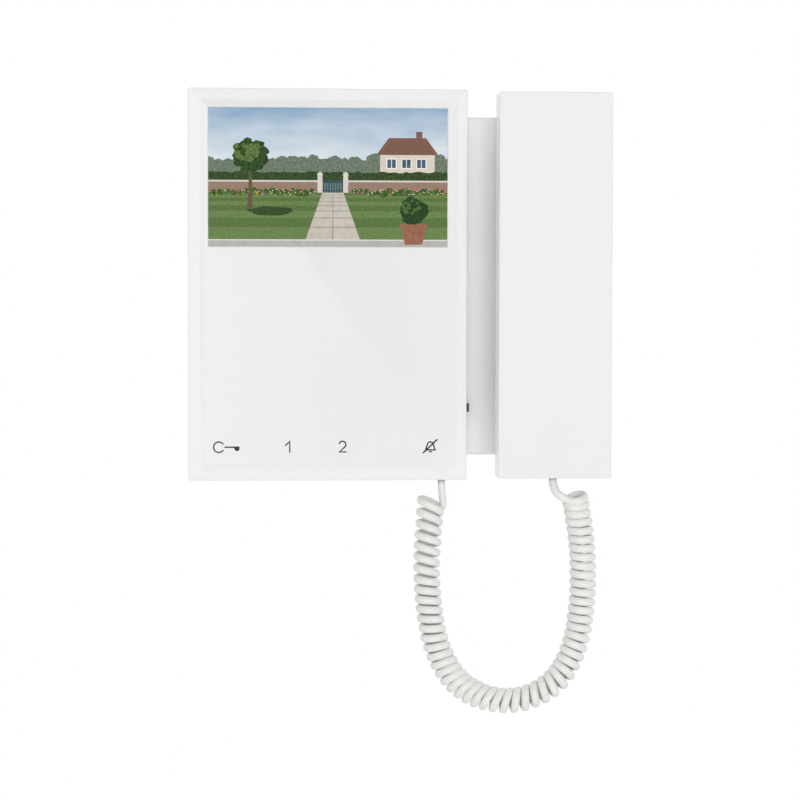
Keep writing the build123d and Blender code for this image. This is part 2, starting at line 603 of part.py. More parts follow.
with BuildPart() as hook_microswitch:
    block((91.5, 102), (PLUNGER_Z - 3, PLUNGER_Z + 3), (CRADLE_BACK_WALL, 5.9))
    disc((95, PLUNGER_Z), 0.9, (5.9, 6.45))
finish(hook_microswitch, "hook_microswitch")

# ---------------------------------------------------------------- handset

HANDSET_CAVITY = (HANDSET_WIDTH - 2 * HANDSET_WALL, HANDSET_HEIGHT - 2 * HANDSET_WALL)
HANDSET_FRONT_INSIDE = HANDSET_FRONT - HANDSET_WALL
HANDSET_BACK_INSIDE = HANDSET_BACK + HANDSET_WALL
POD_REACH = HANDSET_BACK - POD_END
POD_SPREAD = 2 * POD_REACH * tan(radians(POD_TAPER))  # how much wider the pod is at its root
FINGER_END = 13.0

with BuildPart() as handset_front_shell:
    with BuildSketch(depth_plane(HANDSET_SPLIT)):
        with Locations((HANDSET_X, 0)):
            RectangleRounded(HANDSET_WIDTH, HANDSET_HEIGHT, 0.9)
    extrude(amount=HANDSET_FRONT - HANDSET_SPLIT)
    fillet(handset_front_shell.faces().sort_by(Axis.Y)[0].edges(), 0.5)
    with BuildSketch(depth_plane(HANDSET_SPLIT)):
        with Locations((HANDSET_X, 0)):
            Rectangle(*HANDSET_CAVITY)
    extrude(amount=HANDSET_FRONT_INSIDE - HANDSET_SPLIT, mode=Mode.SUBTRACT)
    for boss in HANDSET_SCREWS:
        disc(boss, 3.4, (HANDSET_SPLIT, HANDSET_FRONT_INSIDE + 0.1))
        disc(boss, 1.15, (HANDSET_SPLIT, 40), mode=Mode.SUBTRACT)
    # Mouth of the cord socket
    socket_mouth = (HANDSET_SOCKET_DEPTH - 3.4, HANDSET_SOCKET_DEPTH + 3.4)
    block((HANDSET_X - 4.1, HANDSET_X + 4.1), (-77, -74.3), socket_mouth, mode=Mode.SUBTRACT)
finish(handset_front_shell, "handset_front_shell")

with BuildPart() as handset_back_shell:
    with BuildSketch(depth_plane(HANDSET_BACK)):
        with Locations((HANDSET_X, 0)):
            RectangleRounded(HANDSET_WIDTH, HANDSET_HEIGHT, 0.9)
    extrude(amount=HANDSET_SPLIT - HANDSET_BACK)
    fillet(handset_back_shell.faces().sort_by(Axis.Y)[-1].edges(), 1.4)
    # Tapered pods and the finger that presses the hook plunger
    for pod_z in (-POD_Z, POD_Z):
        with BuildSketch(depth_plane(HANDSET_BACK + 0.5)):
            with Locations((HANDSET_X, pod_z)):
                RectangleRounded(POD_WIDTH + POD_SPREAD, POD_HEIGHT + POD_SPREAD, 9.5)
        extrude(amount=-(POD_REACH + 0.5), taper=POD_TAPER)
    fillet(handset_back_shell.faces().sort_by(Axis.Y)[-2:].edges(), 1.0)
    block((PLUNGER_X - 4, PLUNGER_X + 4), (-38.5, PLUNGER_Z + 3), (FINGER_END, HANDSET_BACK + 0.5))
    # Hollow inside
    with BuildSketch(depth_plane(HANDSET_BACK_INSIDE)):
        with Locations((HANDSET_X, 0)):
            Rectangle(*HANDSET_CAVITY)
    extrude(amount=5, mode=Mode.SUBTRACT)
    inside_spread = POD_SPREAD - 2 * POD_WALL
    for pod_z in (-POD_Z, POD_Z):
        with BuildSketch(depth_plane(HANDSET_BACK_INSIDE)):
            with Locations((HANDSET_X, pod_z)):
                RectangleRounded(POD_WIDTH + inside_spread, POD_HEIGHT + inside_spread, 8)
        extrude(amount=-(HANDSET_BACK_INSIDE - POD_END - POD_WALL), taper=POD_TAPER, mode=Mode.SUBTRACT)
    finger_core = (FINGER_END + 1.5, HANDSET_SPLIT)
    block((PLUNGER_X - 2.5, PLUNGER_X + 2.5), (-34.5, PLUNGER_Z + 1.5), finger_core, mode=Mode.SUBTRACT)
    # Screw recesses in the grip, under the pods' roots
    for centre in HANDSET_SCREWS:
        disc(centre, 4.4, (HANDSET_BACK_INSIDE - 0.1, HANDSET_SPLIT))
        disc(centre, 2.8, (HANDSET_BACK - 0.1, HANDSET_BACK + 1.6), mode=Mode.SUBTRACT)
        disc(centre, 1.6, (HANDSET_BACK, HANDSET_SPLIT + 0.1), mode=Mode.SUBTRACT)
    # Ribs under the weight
    for rib_z in (-14, 22):
        block((81, 97), (rib_z, rib_z + 1.6), (HANDSET_BACK_INSIDE - 0.1, 33.5))
    # Sound holes: a ring for the earpiece, one hole for the microphone
    with Locations((VOICE_X, -8, POD_Z)):
        Cylinder(0.9, 4, rotation=(90, 0, 0), mode=Mode.SUBTRACT)
    ring = Plane(origin=(VOICE_X, -8, POD_Z), x_dir=(1, 0, 0), z_dir=(0, -1, 0))
    with Locations(ring):
        with PolarLocations(4.5, 6):
            Cylinder(0.9, 4, mode=Mode.SUBTRACT)
    with Locations((VOICE_X, -8, -POD_Z)):
        Cylinder(0.9, 4, rotation=(90, 0, 0), mode=Mode.SUBTRACT)
finish(handset_back_shell, "handset_back_shell")

POD_INSIDE = POD_END + POD_WALL
with BuildPart() as earpiece_gasket:
    disc((VOICE_X, POD_Z), 8.8, (POD_INSIDE, 9.8))
    disc((VOICE_X, POD_Z), 6.8, (8.9, 9.9), mode=Mode.SUBTRACT)
finish(earpiece_gasket, "earpiece_gasket")

with BuildPart() as earpiece_capsule:
    disc((VOICE_X, POD_Z), 9, (9.8, 13.2))
    disc((VOICE_X, POD_Z), 5.5, (13.2, 15))
    disc((VOICE_X, POD_Z), 6.6, (9.7, 10.4), mode=Mode.SUBTRACT)
finish(earpiece_capsule, "earpiece_capsule")

with BuildPart() as microphone_boot:
    disc((VOICE_X, -POD_Z), 6.4, (POD_INSIDE, 14.4))
    disc((VOICE_X, -POD_Z), 4.85, (10, 14.5), mode=Mode.SUBTRACT)
    disc((VOICE_X, -POD_Z), 1.2, (8.9, 10.1), mode=Mode.SUBTRACT)
finish(microphone_boot, "microphone_boot")

with BuildPart() as microphone_capsule:
    disc((VOICE_X, -POD_Z), 4.8, (10, 15))
finish(microphone_capsule, "microphone_capsule")

# Steel discs that the cradle's magnets pull on
with BuildPart() as keeper_discs:
    for keeper_z in (-POD_Z, POD_Z):
        disc((MAGNET_X, keeper_z), 4.6, (POD_INSIDE, 10.2))
finish(keeper_discs, "keeper_discs")

with BuildPart() as handset_weight:
    block((79, 99), (-17, 27), (33.5, 37.5))
    fillet(handset_weight.edges().filter_by(Axis.Y), 2)
finish(handset_weight, "handset_weight")

with BuildPart() as handset_bumpers:
    for bumper_x in (HANDSET_X - 13.2, HANDSET_X + 13.8):
        for bumper_z in (-POD_Z - 7, POD_Z + 7):
            disc((bumper_x, bumper_z), 1.4, (POD_END - 0.4, POD_END))
finish(handset_bumpers, "handset_bumpers")


def wire_route(points, bend, radius):
    """Round wire along straight runs joined by arcs."""
    with BuildPart() as wire:
        with BuildLine() as route:
            FilletPolyline(*points, radius=bend)
        with BuildSketch(Plane(origin=route.line @ 0, z_dir=route.line % 0)):
            Circle(radius)
        sweep(path=route.line)
    return wire.part


WIRE_Y = -39.5  # in front of the weight
EARPIECE_WIRE = [
    (92, WIRE_Y, -62),
    (92, WIRE_Y, -52),
    (104, WIRE_Y, -40),
    (104, WIRE_Y, 38),
    (VOICE_X, WIRE_Y, POD_Z),
    (VOICE_X, -15, POD_Z),
]
MICROPHONE_WIRE = [(VOICE_X, WIRE_Y, -62), (VOICE_X, WIRE_Y, -POD_Z), (VOICE_X, -15, -POD_Z)]
with BuildPart() as handset_wires:
    add(wire_route(EARPIECE_WIRE, 4, 0.7))
    add(wire_route(MICROPHONE_WIRE, 4, 0.7))
finish(handset_wires, "handset_wires")

# ---------------------------------------------------------------- screws

# Heads of the housing, cradle and handset screws face the wall.
housing_screws = pan_screws(HOUSING_SCREWS, (2.6, WEB_BACK), 2.6, (WEB_BACK - 0.1, 13), 1.2)
finish(housing_screws, "housing_screws")
board_screws = pan_screws(BOARD_SCREWS, (BOARD_FRONT, 13.2), 2.3, (6.3, BOARD_FRONT + 0.1), 1.0)
finish(board_screws, "board_screws")
cradle_screws = pan_screws(CRADLE_SCREWS, (0.6, SCREW_SEAT), 2.6, (SCREW_SEAT - 0.1, 9.2), 1.05)
finish(cradle_screws, "cradle_screws")
handset_screws = pan_screws(HANDSET_SCREWS, (HANDSET_BACK + 0.1, HANDSET_BACK + 1.6), 2.5, (31.5, 39), 1.1)
finish(handset_screws, "handset_screws")

with BuildPart() as cradle_link_screws:
    for link_z in (-LINK_SCREW_Z, LINK_SCREW_Z):
        rod_x((CRADLE_INSIDE_X[0], CRADLE_INSIDE_X[0] + 1.8), link_z, LINK_SCREW_DEPTH, 2.5)
        rod_x((49, CRADLE_INSIDE_X[0] + 0.1), link_z, LINK_SCREW_DEPTH, 1.25)
finish(cradle_link_screws, "cradle_link_screws")

with BuildPart() as lock_screw:
    rod_z(0, (-78.3, -HOUSING_HEIGHT / 2), LOCK_SCREW_DEPTH, 1.95)
    rod_z(0, (-HOUSING_HEIGHT / 2 - 0.1, -70.5), LOCK_SCREW_DEPTH, 1.25)
finish(lock_screw, "lock_screw")

# ---------------------------------------------------------------- cord sockets and plugs

MONITOR_CORD_EXIT = (SOCKET_X, -SOCKET_DEPTH, -78.2)
HANDSET_CORD_EXIT = (HANDSET_X, -HANDSET_SOCKET_DEPTH, -76.1)
HALF_PLUG = PLUG_WIDTH / 2


def cord_socket(centre, z_range, half_width, outer, inner):
    """Modular four-way socket open at the bottom; outer and inner are half depths."""
    x, depth = centre
    with BuildPart() as socket:
        block((x - half_width, x + half_width), z_range, (depth - outer[0], depth + outer[1]))
        cavity_z = (z_range[0] - 0.1, z_range[1] - 1.5)
        block((x - 3.9, x + 3.9), cavity_z, (depth - inner, depth + inner), mode=Mode.SUBTRACT)
    return socket


cord_socket_base = cord_socket((SOCKET_X, SOCKET_DEPTH), (-77.0, -64.5), 5.5, (3.7, 3.7), 2.9)
finish(cord_socket_base, "cord_socket_base")
cord_socket_handset = cord_socket((HANDSET_X, HANDSET_SOCKET_DEPTH), (-74.4, -62.0), 5.5, (4.6, 4.6), 3.2)
finish(cord_socket_handset, "cord_socket_handset")



def cord_plug(centre, z_range, half_depth):
    """Body of a modular plug in its socket, flush with the housing."""
    x, depth = centre
    with BuildPart() as plug:
        block((x - HALF_PLUG, x + HALF_PLUG), z_range, (depth - half_depth, depth + half_depth))
    return plug


cord_plug_base = cord_plug((SOCKET_X, SOCKET_DEPTH), (MONITOR_CORD_EXIT[2], -66.2), 2.8)
finish(cord_plug_base, "cord_plug_base")
cord_plug_handset = cord_plug((HANDSET_X, HANDSET_SOCKET_DEPTH), (HANDSET_CORD_EXIT[2], -63.7), 3.1)
finish(cord_plug_handset, "cord_plug_handset")

# ---------------------------------------------------------------- curly cord

# The middle line of the coiled stretch hangs from one socket to the other.
COIL_ROUTE = [
    (42.0, -SOCKET_DEPTH, -88.0),
    (42.0, -SOCKET_DEPTH, -100.0),
    (39.2, -18.0, -114.0),
    (41.0, -20.3, -132.0),
    (44.5, -22.0, -149.0),
    (54.0, -23.8, -163.5),
    (73.0, -26.2, -171.5),
    (91.0, -28.4, -163.5),
    (99.3, -30.6, -147.0),
    (101.9, -32.6, -128.0),
    (101.5, -34.6, -110.0),
    (97.8, -HANDSET_SOCKET_DEPTH, -95.0),
    (97.8, -HANDSET_SOCKET_DEPTH, -83.0),
]
MONITOR_LEAD_END = (SOCKET_X, COIL_ROUTE[0][1], COIL_ROUTE[0][2])
HANDSET_LEAD_END = (93.7, -HANDSET_SOCKET_DEPTH, COIL_ROUTE[-1][2] + 0.1)


def bend_radii(points):
    """Largest tidy radius at each corner: 0.45 of the shorter run over the tangent of half the turn."""
    spots = [Vector(*p) for p in points]
    radii = []
    for a, b, c in zip(spots, spots[1:], spots[2:]):
        turn = (b - a).get_angle(c - b)
        radii.append(0.45 * min((b - a).length, (c - b).length) / tan(radians(turn / 2)))
    return radii


coil_radii = bend_radii(COIL_ROUTE)
with BuildPart() as cord_coil:
    with BuildLine() as coil_line:
        FilletPolyline(*COIL_ROUTE, radius=coil_radii)
    with BuildSketch(Plane(origin=coil_line.line @ 0, z_dir=coil_line.line % 0)):
        Circle(COIL_DIAMETER / 2)
    sweep(path=coil_line.line)
finish(cord_coil, "cord_coil")


def straight_lead(start, end):
    """Round lead between two points, with level ends."""
    with BuildPart() as lead:
        with BuildSketch(Plane(origin=start, z_dir=(0, 0, -1))):
            Circle(CORD_DIAMETER / 2)
        run = Vector(*end) - Vector(*start)
        extrude(amount=run.length, dir=run.normalized())
    return lead


cord_lead_base = straight_lead(MONITOR_CORD_EXIT, MONITOR_LEAD_END)
finish(cord_lead_base, "cord_lead_base")
cord_lead_handset = straight_lead(HANDSET_CORD_EXIT, HANDSET_LEAD_END)
finish(cord_lead_handset, "cord_lead_handset")

coil_section = pi * COIL_DIAMETER**2 / 4
coil_length = sum(edge.length for edge in coil_line.edges())
print("coil bend radii", [round(r, 1) for r in coil_radii])
print("coil length", round(coil_length, 1))
print("coil volume", round(cord_coil.part.volume), "section x length", round(coil_section * coil_length))
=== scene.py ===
"""Looks of a wall-mounted video intercom with a handset on a curly cord."""

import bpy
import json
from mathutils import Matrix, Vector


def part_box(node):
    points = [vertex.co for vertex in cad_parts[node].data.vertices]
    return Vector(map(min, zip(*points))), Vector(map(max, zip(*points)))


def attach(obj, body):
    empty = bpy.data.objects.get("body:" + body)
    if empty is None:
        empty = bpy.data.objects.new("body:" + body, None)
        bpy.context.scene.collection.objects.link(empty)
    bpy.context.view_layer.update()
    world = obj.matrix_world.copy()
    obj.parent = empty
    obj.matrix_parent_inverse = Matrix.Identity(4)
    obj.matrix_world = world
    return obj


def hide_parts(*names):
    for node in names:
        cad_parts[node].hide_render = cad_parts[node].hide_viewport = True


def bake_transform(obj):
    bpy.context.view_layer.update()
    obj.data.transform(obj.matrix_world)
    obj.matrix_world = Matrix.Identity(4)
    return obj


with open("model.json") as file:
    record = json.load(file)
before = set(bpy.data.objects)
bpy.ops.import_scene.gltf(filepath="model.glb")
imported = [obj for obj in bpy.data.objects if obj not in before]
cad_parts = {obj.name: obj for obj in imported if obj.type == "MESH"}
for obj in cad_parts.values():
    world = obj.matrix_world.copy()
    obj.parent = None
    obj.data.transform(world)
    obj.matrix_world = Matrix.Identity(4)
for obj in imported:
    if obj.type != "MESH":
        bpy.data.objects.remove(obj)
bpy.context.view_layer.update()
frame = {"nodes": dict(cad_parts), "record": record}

import json
import math
import random

import bpy
import numpy as np
from mathutils import Matrix, Vector

MM = 0.001


def mm(x, y, z):
    """A point given in millimetres, as the metres that the scene uses."""
    return Vector((x, y, z)) * MM


def node_box(node):
    """(left, right, back depth, front depth, bottom, top) of a CAD node in millimetres."""
    low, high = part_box(node)
    sides = (low.x, high.x, -high.y, -low.y, low.z, high.z)
    return tuple(value / MM for value in sides)


def between(start, end, share):
    return start + (end - start) * share


# ---------------------------------------------------------------- materials


def srgb(red, green, blue):
    """A linear colour from the 0 to 255 values that a screen shows."""
    values = (red / 255, green / 255, blue / 255)
    return tuple(v / 12.92 if v <= 0.04045 else ((v + 0.055) / 1.055) ** 2.4 for v in values)


def fill_ramp(ramp, stops):
    """Gives a colour ramp node its (position, colour) stops."""
    elements = ramp.color_ramp.elements
    while len(elements) < len(stops):
        elements.new(0.5)
    for element, (position, colour) in zip(elements, stops):
        element.position = position
        element.color = (*colour, 1)


class Shading:
    """A Principled material whose colour, roughness and relief come from noise in object space."""

    def __init__(self, name):
        self.material = bpy.data.materials.new(name)
        self.material.use_nodes = True
        self.tree = self.material.node_tree
        self.shader = self.tree.nodes["Principled BSDF"]
        self.place = self.node("ShaderNodeTexCoord").outputs["Object"]

    def node(self, kind, **values):
        made = self.tree.nodes.new(kind)
        for key, value in values.items():
            setattr(made, key, value)
        return made

    def link(self, source, target):
        self.tree.links.new(source, target)

    def maths(self, operation, *values):
        """The result of a Math node whose values are numbers or sockets."""
        node = self.node("ShaderNodeMath", operation=operation)
        for socket, value in zip(node.inputs, values):
            if isinstance(value, (int, float)):
                socket.default_value = value
            else:
                self.link(value, socket)
        return node.outputs["Value"]

    def stretched(self, x, y, z):
        """Object coordinates, multiplied along each axis."""
        mapping = self.node("ShaderNodeMapping")
        mapping.inputs["Scale"].default_value = (x, y, z)
        self.link(self.place, mapping.inputs["Vector"])
        return mapping.outputs["Vector"]

    def noise(self, size_mm, detail=3.0, stretch=None):
        """Noise whose features are about size_mm across."""
        noise = self.node("ShaderNodeTexNoise")
        noise.inputs["Scale"].default_value = 1 / (size_mm * MM)
        noise.inputs["Detail"].default_value = detail
        self.link(self.stretched(*stretch) if stretch else self.place, noise.inputs["Vector"])
        return noise.outputs["Fac"]

    def ramp(self, value, stops):
        """A colour ramp from a list of (position, colour)."""
        ramp = self.node("ShaderNodeValToRGB")
        fill_ramp(ramp, stops)
        self.link(value, ramp.inputs["Fac"])
        return ramp.outputs["Color"]

    def spread(self, value, low, high):
        """Noise near 0.5 brought to between low and high."""
        spread = self.node("ShaderNodeMapRange")
        spread.inputs["From Min"].default_value = 0.3
        spread.inputs["From Max"].default_value = 0.7
        spread.inputs["To Min"].default_value = low
        spread.inputs["To Max"].default_value = high
        self.link(value, spread.inputs["Value"])
        return spread.outputs["Result"]

    def set(self, **values):
        for key, value in values.items():
            self.shader.inputs[key.replace("_", " ")].default_value = value
        return self

    def colour(self, colour, variation, size_mm, detail=3.0, stretch=None):
        """A base colour that is a share lighter and darker in soft patches."""
        dark = tuple(c * (1 - variation) for c in colour)
        light = tuple(min(c * (1 + variation), 1.0) for c in colour)
        stops = [(0.3, dark), (0.7, light)]
        shade = self.ramp(self.noise(size_mm, detail, stretch), stops)
        self.link(shade, self.shader.inputs["Base Color"])
        return self

    def roughness(self, low, high, size_mm, stretch=None):
        rough = self.spread(self.noise(size_mm, 4.0, stretch), low, high)
        self.link(rough, self.shader.inputs["Roughness"])
        return self

    def relief(self, height_mm, size_mm, detail=3.0, stretch=None):
        """Fine relief, height_mm deep, over features of size_mm."""
        bump = self.node("ShaderNodeBump")
        bump.inputs["Strength"].default_value = 1.0
        bump.inputs["Distance"].default_value = height_mm * MM
        self.link(self.noise(size_mm, detail, stretch), bump.inputs["Height"])
        if self.shader.inputs["Normal"].is_linked:
            self.link(self.shader.inputs["Normal"].links[0].from_socket, bump.inputs["Normal"])
        self.link(bump.outputs["Normal"], self.shader.inputs["Normal"])
        return self


def gloss_plastic(name, colour, rough=(0.05, 0.08)):
    """Polished mould: nearly a mirror, with faint flow marks."""
    made = Shading(name).colour(colour, 0.006, 45, 2).roughness(*rough, 9)
    return made.relief(0.0002, 1.6, 2).set(IOR=1.5).material


def satin_plastic(name, colour, rough=(0.34, 0.42), grain_mm=0.28, depth_mm=0.006):
    """Spark-eroded mould: an even, fine grain."""
    made = Shading(name).colour(colour, 0.012, 18, 3).roughness(*rough, 4)
    return made.relief(depth_mm, grain_mm, 4).set(IOR=1.5).material


def rolled_metal(name, colour, rough=(0.28, 0.42), stretch=(1, 1, 9)):
    """Sheet or turned metal with fine drawn lines."""
    made = Shading(name).set(Metallic=1.0).colour(colour, 0.07, 1.3, 6, stretch)
    return made.roughness(*rough, 0.9, stretch).relief(0.002, 0.35, 5, stretch).material


def galvanised_steel(name):
    """Zinc with its large crystals, each a slightly different grey."""
    made = Shading(name).set(Metallic=1.0).roughness(0.32, 0.5, 6)
    crystals = made.node("ShaderNodeTexVoronoi", feature="F1")
    crystals.inputs["Scale"].default_value = 190
    made.link(made.place, crystals.inputs["Vector"])
    grey = made.node("ShaderNodeSeparateColor")
    made.link(crystals.outputs["Color"], grey.inputs["Color"])
    stops = [(0.0, (0.50, 0.51, 0.52)), (1.0, (0.66, 0.67, 0.68))]
    made.link(made.ramp(grey.outputs["Red"], stops), made.shader.inputs["Base Color"])
    return made.relief(0.004, 1.1, 4).material


def circuit_board(name):
    """Green solder mask over copper tracks that show as slightly lighter, raised lines."""
    made = Shading(name).set(IOR=1.5).roughness(0.28, 0.4, 3)
    tracks = made.node("ShaderNodeTexWave", wave_type="BANDS", bands_direction="DIAGONAL")
    tracks.inputs["Scale"].default_value = 260
    tracks.inputs["Distortion"].default_value = 9
    tracks.inputs["Detail Scale"].default_value = 0.6
    made.link(made.place, tracks.inputs["Vector"])
    stops = [(0.45, (0.008, 0.075, 0.030)), (0.60, (0.020, 0.150, 0.060))]
    made.link(made.ramp(tracks.outputs["Fac"], stops), made.shader.inputs["Base Color"])
    return made.relief(0.01, 0.5, 2).material


def clear_plastic(name, tint, rough, ior):
    made = Shading(name).colour(tint, 0.004, 30, 2).roughness(*rough, 12)
    return made.set(Transmission_Weight=1.0, IOR=ior).material


def foam(name):
    made = Shading(name).colour((0.020, 0.020, 0.021), 0.35, 0.5, 5).roughness(0.85, 0.98, 0.5)
    return made.relief(0.12, 0.35, 5).material


def flat_cable(name):
    """Amber film with parallel conductors."""
    made = Shading(name).set(IOR=1.5).roughness(0.25, 0.35, 4)
    lines = made.node("ShaderNodeTexWave", wave_type="BANDS", bands_direction="X")
    lines.inputs["Scale"].default_value = 320
    made.link(made.place, lines.inputs["Vector"])
    stops = [(0.40, (0.36, 0.13, 0.015)), (0.60, (0.62, 0.33, 0.09))]
    made.link(made.ramp(lines.outputs["Fac"], stops), made.shader.inputs["Base Color"])
    return made.relief(0.005, 0.6, 2).material


def led_lens(name):
    made = Shading(name).colour((0.86, 0.80, 0.42), 0.08, 0.6).roughness(0.2, 0.3, 0.5)
    return made.relief(0.004, 0.3, 2).material


def speaker_paper(name):
    """Pressed paper pulp: short fibres."""
    made = Shading(name).colour((0.030, 0.028, 0.026), 0.4, 0.5, 6, (1, 1, 3))
    return made.roughness(0.75, 0.92, 0.6).relief(0.03, 0.25, 6, (1, 1, 3)).material


def sheath(name, colour):
    """Smooth extruded sheath of the cord, slightly waxy."""
    made = Shading(name).colour(colour, 0.02, 6, 3).roughness(0.30, 0.40, 3)
    return made.relief(0.008, 0.8, 3).set(IOR=1.48).material


WHITE = (0.80, 0.80, 0.797)
# The lens's low index stands for a coating against reflections
MATERIALS = {
    "gloss_white": gloss_plastic("gloss_white", WHITE, (0.018, 0.028)),
    "handset_white": gloss_plastic("handset_white", (0.79, 0.79, 0.787), (0.12, 0.17)),
    "cradle_white": satin_plastic("cradle_white", (0.83, 0.83, 0.825)),
    "housing_white": satin_plastic("housing_white", (0.74, 0.74, 0.73), (0.42, 0.52), 0.4, 0.012),
    "plunger_white": satin_plastic("plunger_white", (0.76, 0.76, 0.74), (0.3, 0.38)),
    "cord_white": sheath("cord_white", (0.80, 0.80, 0.78)),
    "wire_sheath": sheath("wire_sheath", (0.12, 0.12, 0.13)),
    "lens_clear": clear_plastic("lens_clear", (0.985, 0.99, 0.99), (0.0, 0.01), 1.06),
    "plug_clear": clear_plastic("plug_clear", (0.93, 0.95, 0.95), (0.03, 0.08), 1.45),
    "display_glass": gloss_plastic("display_glass", (0.012, 0.013, 0.015)),
    "light_guide": satin_plastic("light_guide", (0.85, 0.86, 0.86), (0.2, 0.3), 0.8, 0.01),
    "slider_black": satin_plastic("slider_black", (0.018, 0.018, 0.019), (0.35, 0.45), 0.2),
    "chip_black": satin_plastic("chip_black", (0.022, 0.022, 0.024), (0.5, 0.62), 0.12, 0.004),
    "socket_plastic": satin_plastic("socket_plastic", (0.020, 0.020, 0.021), (0.4, 0.5), 0.3),
    "speaker_black": satin_plastic("speaker_black", (0.018, 0.018, 0.018), (0.45, 0.55), 0.3),
    "rubber_black": satin_plastic("rubber_black", (0.016, 0.016, 0.016), (0.7, 0.82), 0.35, 0.015),
    "terminal_green": satin_plastic("terminal_green", (0.015, 0.17, 0.055), (0.4, 0.5), 0.3),
    "foam_black": foam("foam_black"),
    "sheet_steel": galvanised_steel("sheet_steel"),
    "screw_steel": rolled_metal("screw_steel", (0.62, 0.62, 0.60), (0.25, 0.36), (1, 6, 1)),
    "weight_steel": rolled_metal("weight_steel", (0.42, 0.42, 0.43), (0.4, 0.55)),
    "magnet_nickel": rolled_metal("magnet_nickel", (0.72, 0.70, 0.66), (0.12, 0.22)),
    "capsule_metal": rolled_metal("capsule_metal", (0.70, 0.70, 0.71), (0.2, 0.32)),
    "spring_bronze": rolled_metal("spring_bronze", (0.72, 0.44, 0.20), (0.2, 0.32)),
    "circuit_board": circuit_board("circuit_board"),
    "flat_cable": flat_cable("flat_cable"),
    "led_white": led_lens("led_white"),
    "speaker_paper": speaker_paper("speaker_paper"),
}


def dress_cad_nodes():
    """Each CAD node gets the material of its slot in the record."""
    for part in frame["record"]["subparts"]:
        mesh = frame["nodes"][part["node"]].data
        mesh.materials.clear()
        mesh.materials.append(MATERIALS[part["material_slot"]])


# ---------------------------------------------------------------- mesh building


class Solid:
    """Collects closed shapes into one mesh, each with a material number."""

    def __init__(self):
        self.points = []
        self.faces = []
        self.paints = []

    def add(self, points, faces, paint=0):
        first = len(self.points)
        self.points += points
        self.faces += [[first + corner for corner in face] for face in faces]
        self.paints += [paint] * len(faces)

    def prism(self, outline, depths, paint=0):
        """A flat shape in X and Z, outline in millimetres, between two depths from the wall."""
        n = len(outline)
        points = [mm(x, -depth, z) for depth in depths for x, z in outline]
        sides = [[i, (i + 1) % n, n + (i + 1) % n, n + i] for i in range(n)]
        area = sum(a[0] * b[1] - b[0] * a[1] for a, b in zip(outline, outline[1:] + outline[:1]))
        faces = [list(range(n))[::-1], list(range(n, 2 * n)), *sides]
        if area < 0:
            faces = [face[::-1] for face in faces]
        self.add(points, faces, paint)

    def ribbon(self, line, widths, depths, paint=0):
        """A flat stroke along a line in X and Z. widths is one width, or one for each point."""
        n = len(line)
        if not isinstance(widths, (list, tuple)):
            widths = [widths] * n
        places = [Vector(point) for point in line]
        rims = []
        for i, place in enumerate(places):
            before = places[i - 1] if i else place
            after = places[i + 1] if i < n - 1 else place
            ahead = (after - place).normalized() if after != place else Vector((0, 0))
            behind = (place - before).normalized() if before != place else Vector((0, 0))
            along = (ahead + behind).normalized()
            mitre = max(along.dot(ahead if ahead.length else behind), 0.5)
            aside = Vector((-along.y, along.x)) * widths[i] / 2 / mitre
            rims.append((place + aside, place - aside))
        points = [mm(p.x, -depth, p.y) for pair in rims for p in pair for depth in depths]
        faces = []
        for i in range(n - 1):
            a, b = 4 * i, 4 * (i + 1)
            # Of each point: 0 left back, 1 left front, 2 right back, 3 right front
            faces += [[a + 1, a + 3, b + 3, b + 1], [a, b, b + 2, a + 2]]
            faces += [[a, a + 1, b + 1, b], [a + 2, b + 2, b + 3, a + 3]]
        end = 4 * (n - 1)
        faces += [[0, 2, 3, 1], [end, end + 1, end + 3, end + 2]]
        self.add(points, faces, paint)

    def piece(self, name, materials, body, smooth=False):
        mesh = bpy.data.meshes.new(name)
        mesh.from_pydata(self.points, [], self.faces)
        for material in materials:
            mesh.materials.append(material)
        mesh.polygons.foreach_set("material_index", self.paints)
        mesh.polygons.foreach_set("use_smooth", [smooth] * len(self.faces))
        mesh.validate()
        mesh.update()
        made = bpy.data.objects.new(name, mesh)
        bpy.context.scene.collection.objects.link(made)
        if body:
            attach(made, body)
        return made


def arc(centre, radius, start, end, steps):
    """Points of an arc in X and Z, angles in degrees from +X towards +Z."""
    turns = [math.radians(between(start, end, i / steps)) for i in range(steps + 1)]
    return [(centre[0] + radius * math.cos(t), centre[1] + radius * math.sin(t)) for t in turns]


def ellipse(centre, half_axes, steps):
    """Points of an upright ellipse in X and Z."""
    turns = [2 * math.pi * i / steps for i in range(steps)]
    return [
        (centre[0] + half_axes[0] * math.cos(t), centre[1] + half_axes[1] * math.sin(t))
        for t in turns
    ]


# ---------------------------------------------------------------- cord

WIRE_WIDTH = 3.3  # in the coil, measured along its axis
WIRE_THICKNESS = 2.95
COIL_TURNS = 52.70
STEPS_PER_TURN = 16
SPLINE_STEPS = 2  # points of the spline for each of its control points
AXIS_STEPS = 24  # the same for the coil's axis, which is measured along its length
UNEVENNESS = 0.012  # share by which the coil's radius wanders
UNEVEN_WAVES = (0.31, 0.083)  # two slow waves, for each radian of winding
FIRST_TURN = 50.0  # degrees from the inner side of the loop, towards the wall

MONITOR_EXIT = (46.2, -15.3, -78.2)
HANDSET_EXIT = (89.0, -37.1, -76.1)

# Axis of the coil, from under the monitor round to under the handset
COIL_ROUTE = [
    (42.0, -15.3, -87.2),
    (41.1, -15.9, -99.0),
    (39.9, -18.0, -114.0),
    (41.0, -20.3, -132.0),
    (44.5, -22.0, -149.0),
    (54.0, -23.8, -163.4),
    (72.6, -26.2, -169.0),
    (90.2, -28.4, -162.4),
    (99.1, -30.6, -147.0),
    (101.9, -32.6, -128.0),
    (101.8, -34.6, -110.0),
    (100.2, -36.2, -95.0),
    (97.7, -37.6, -83.4),
]

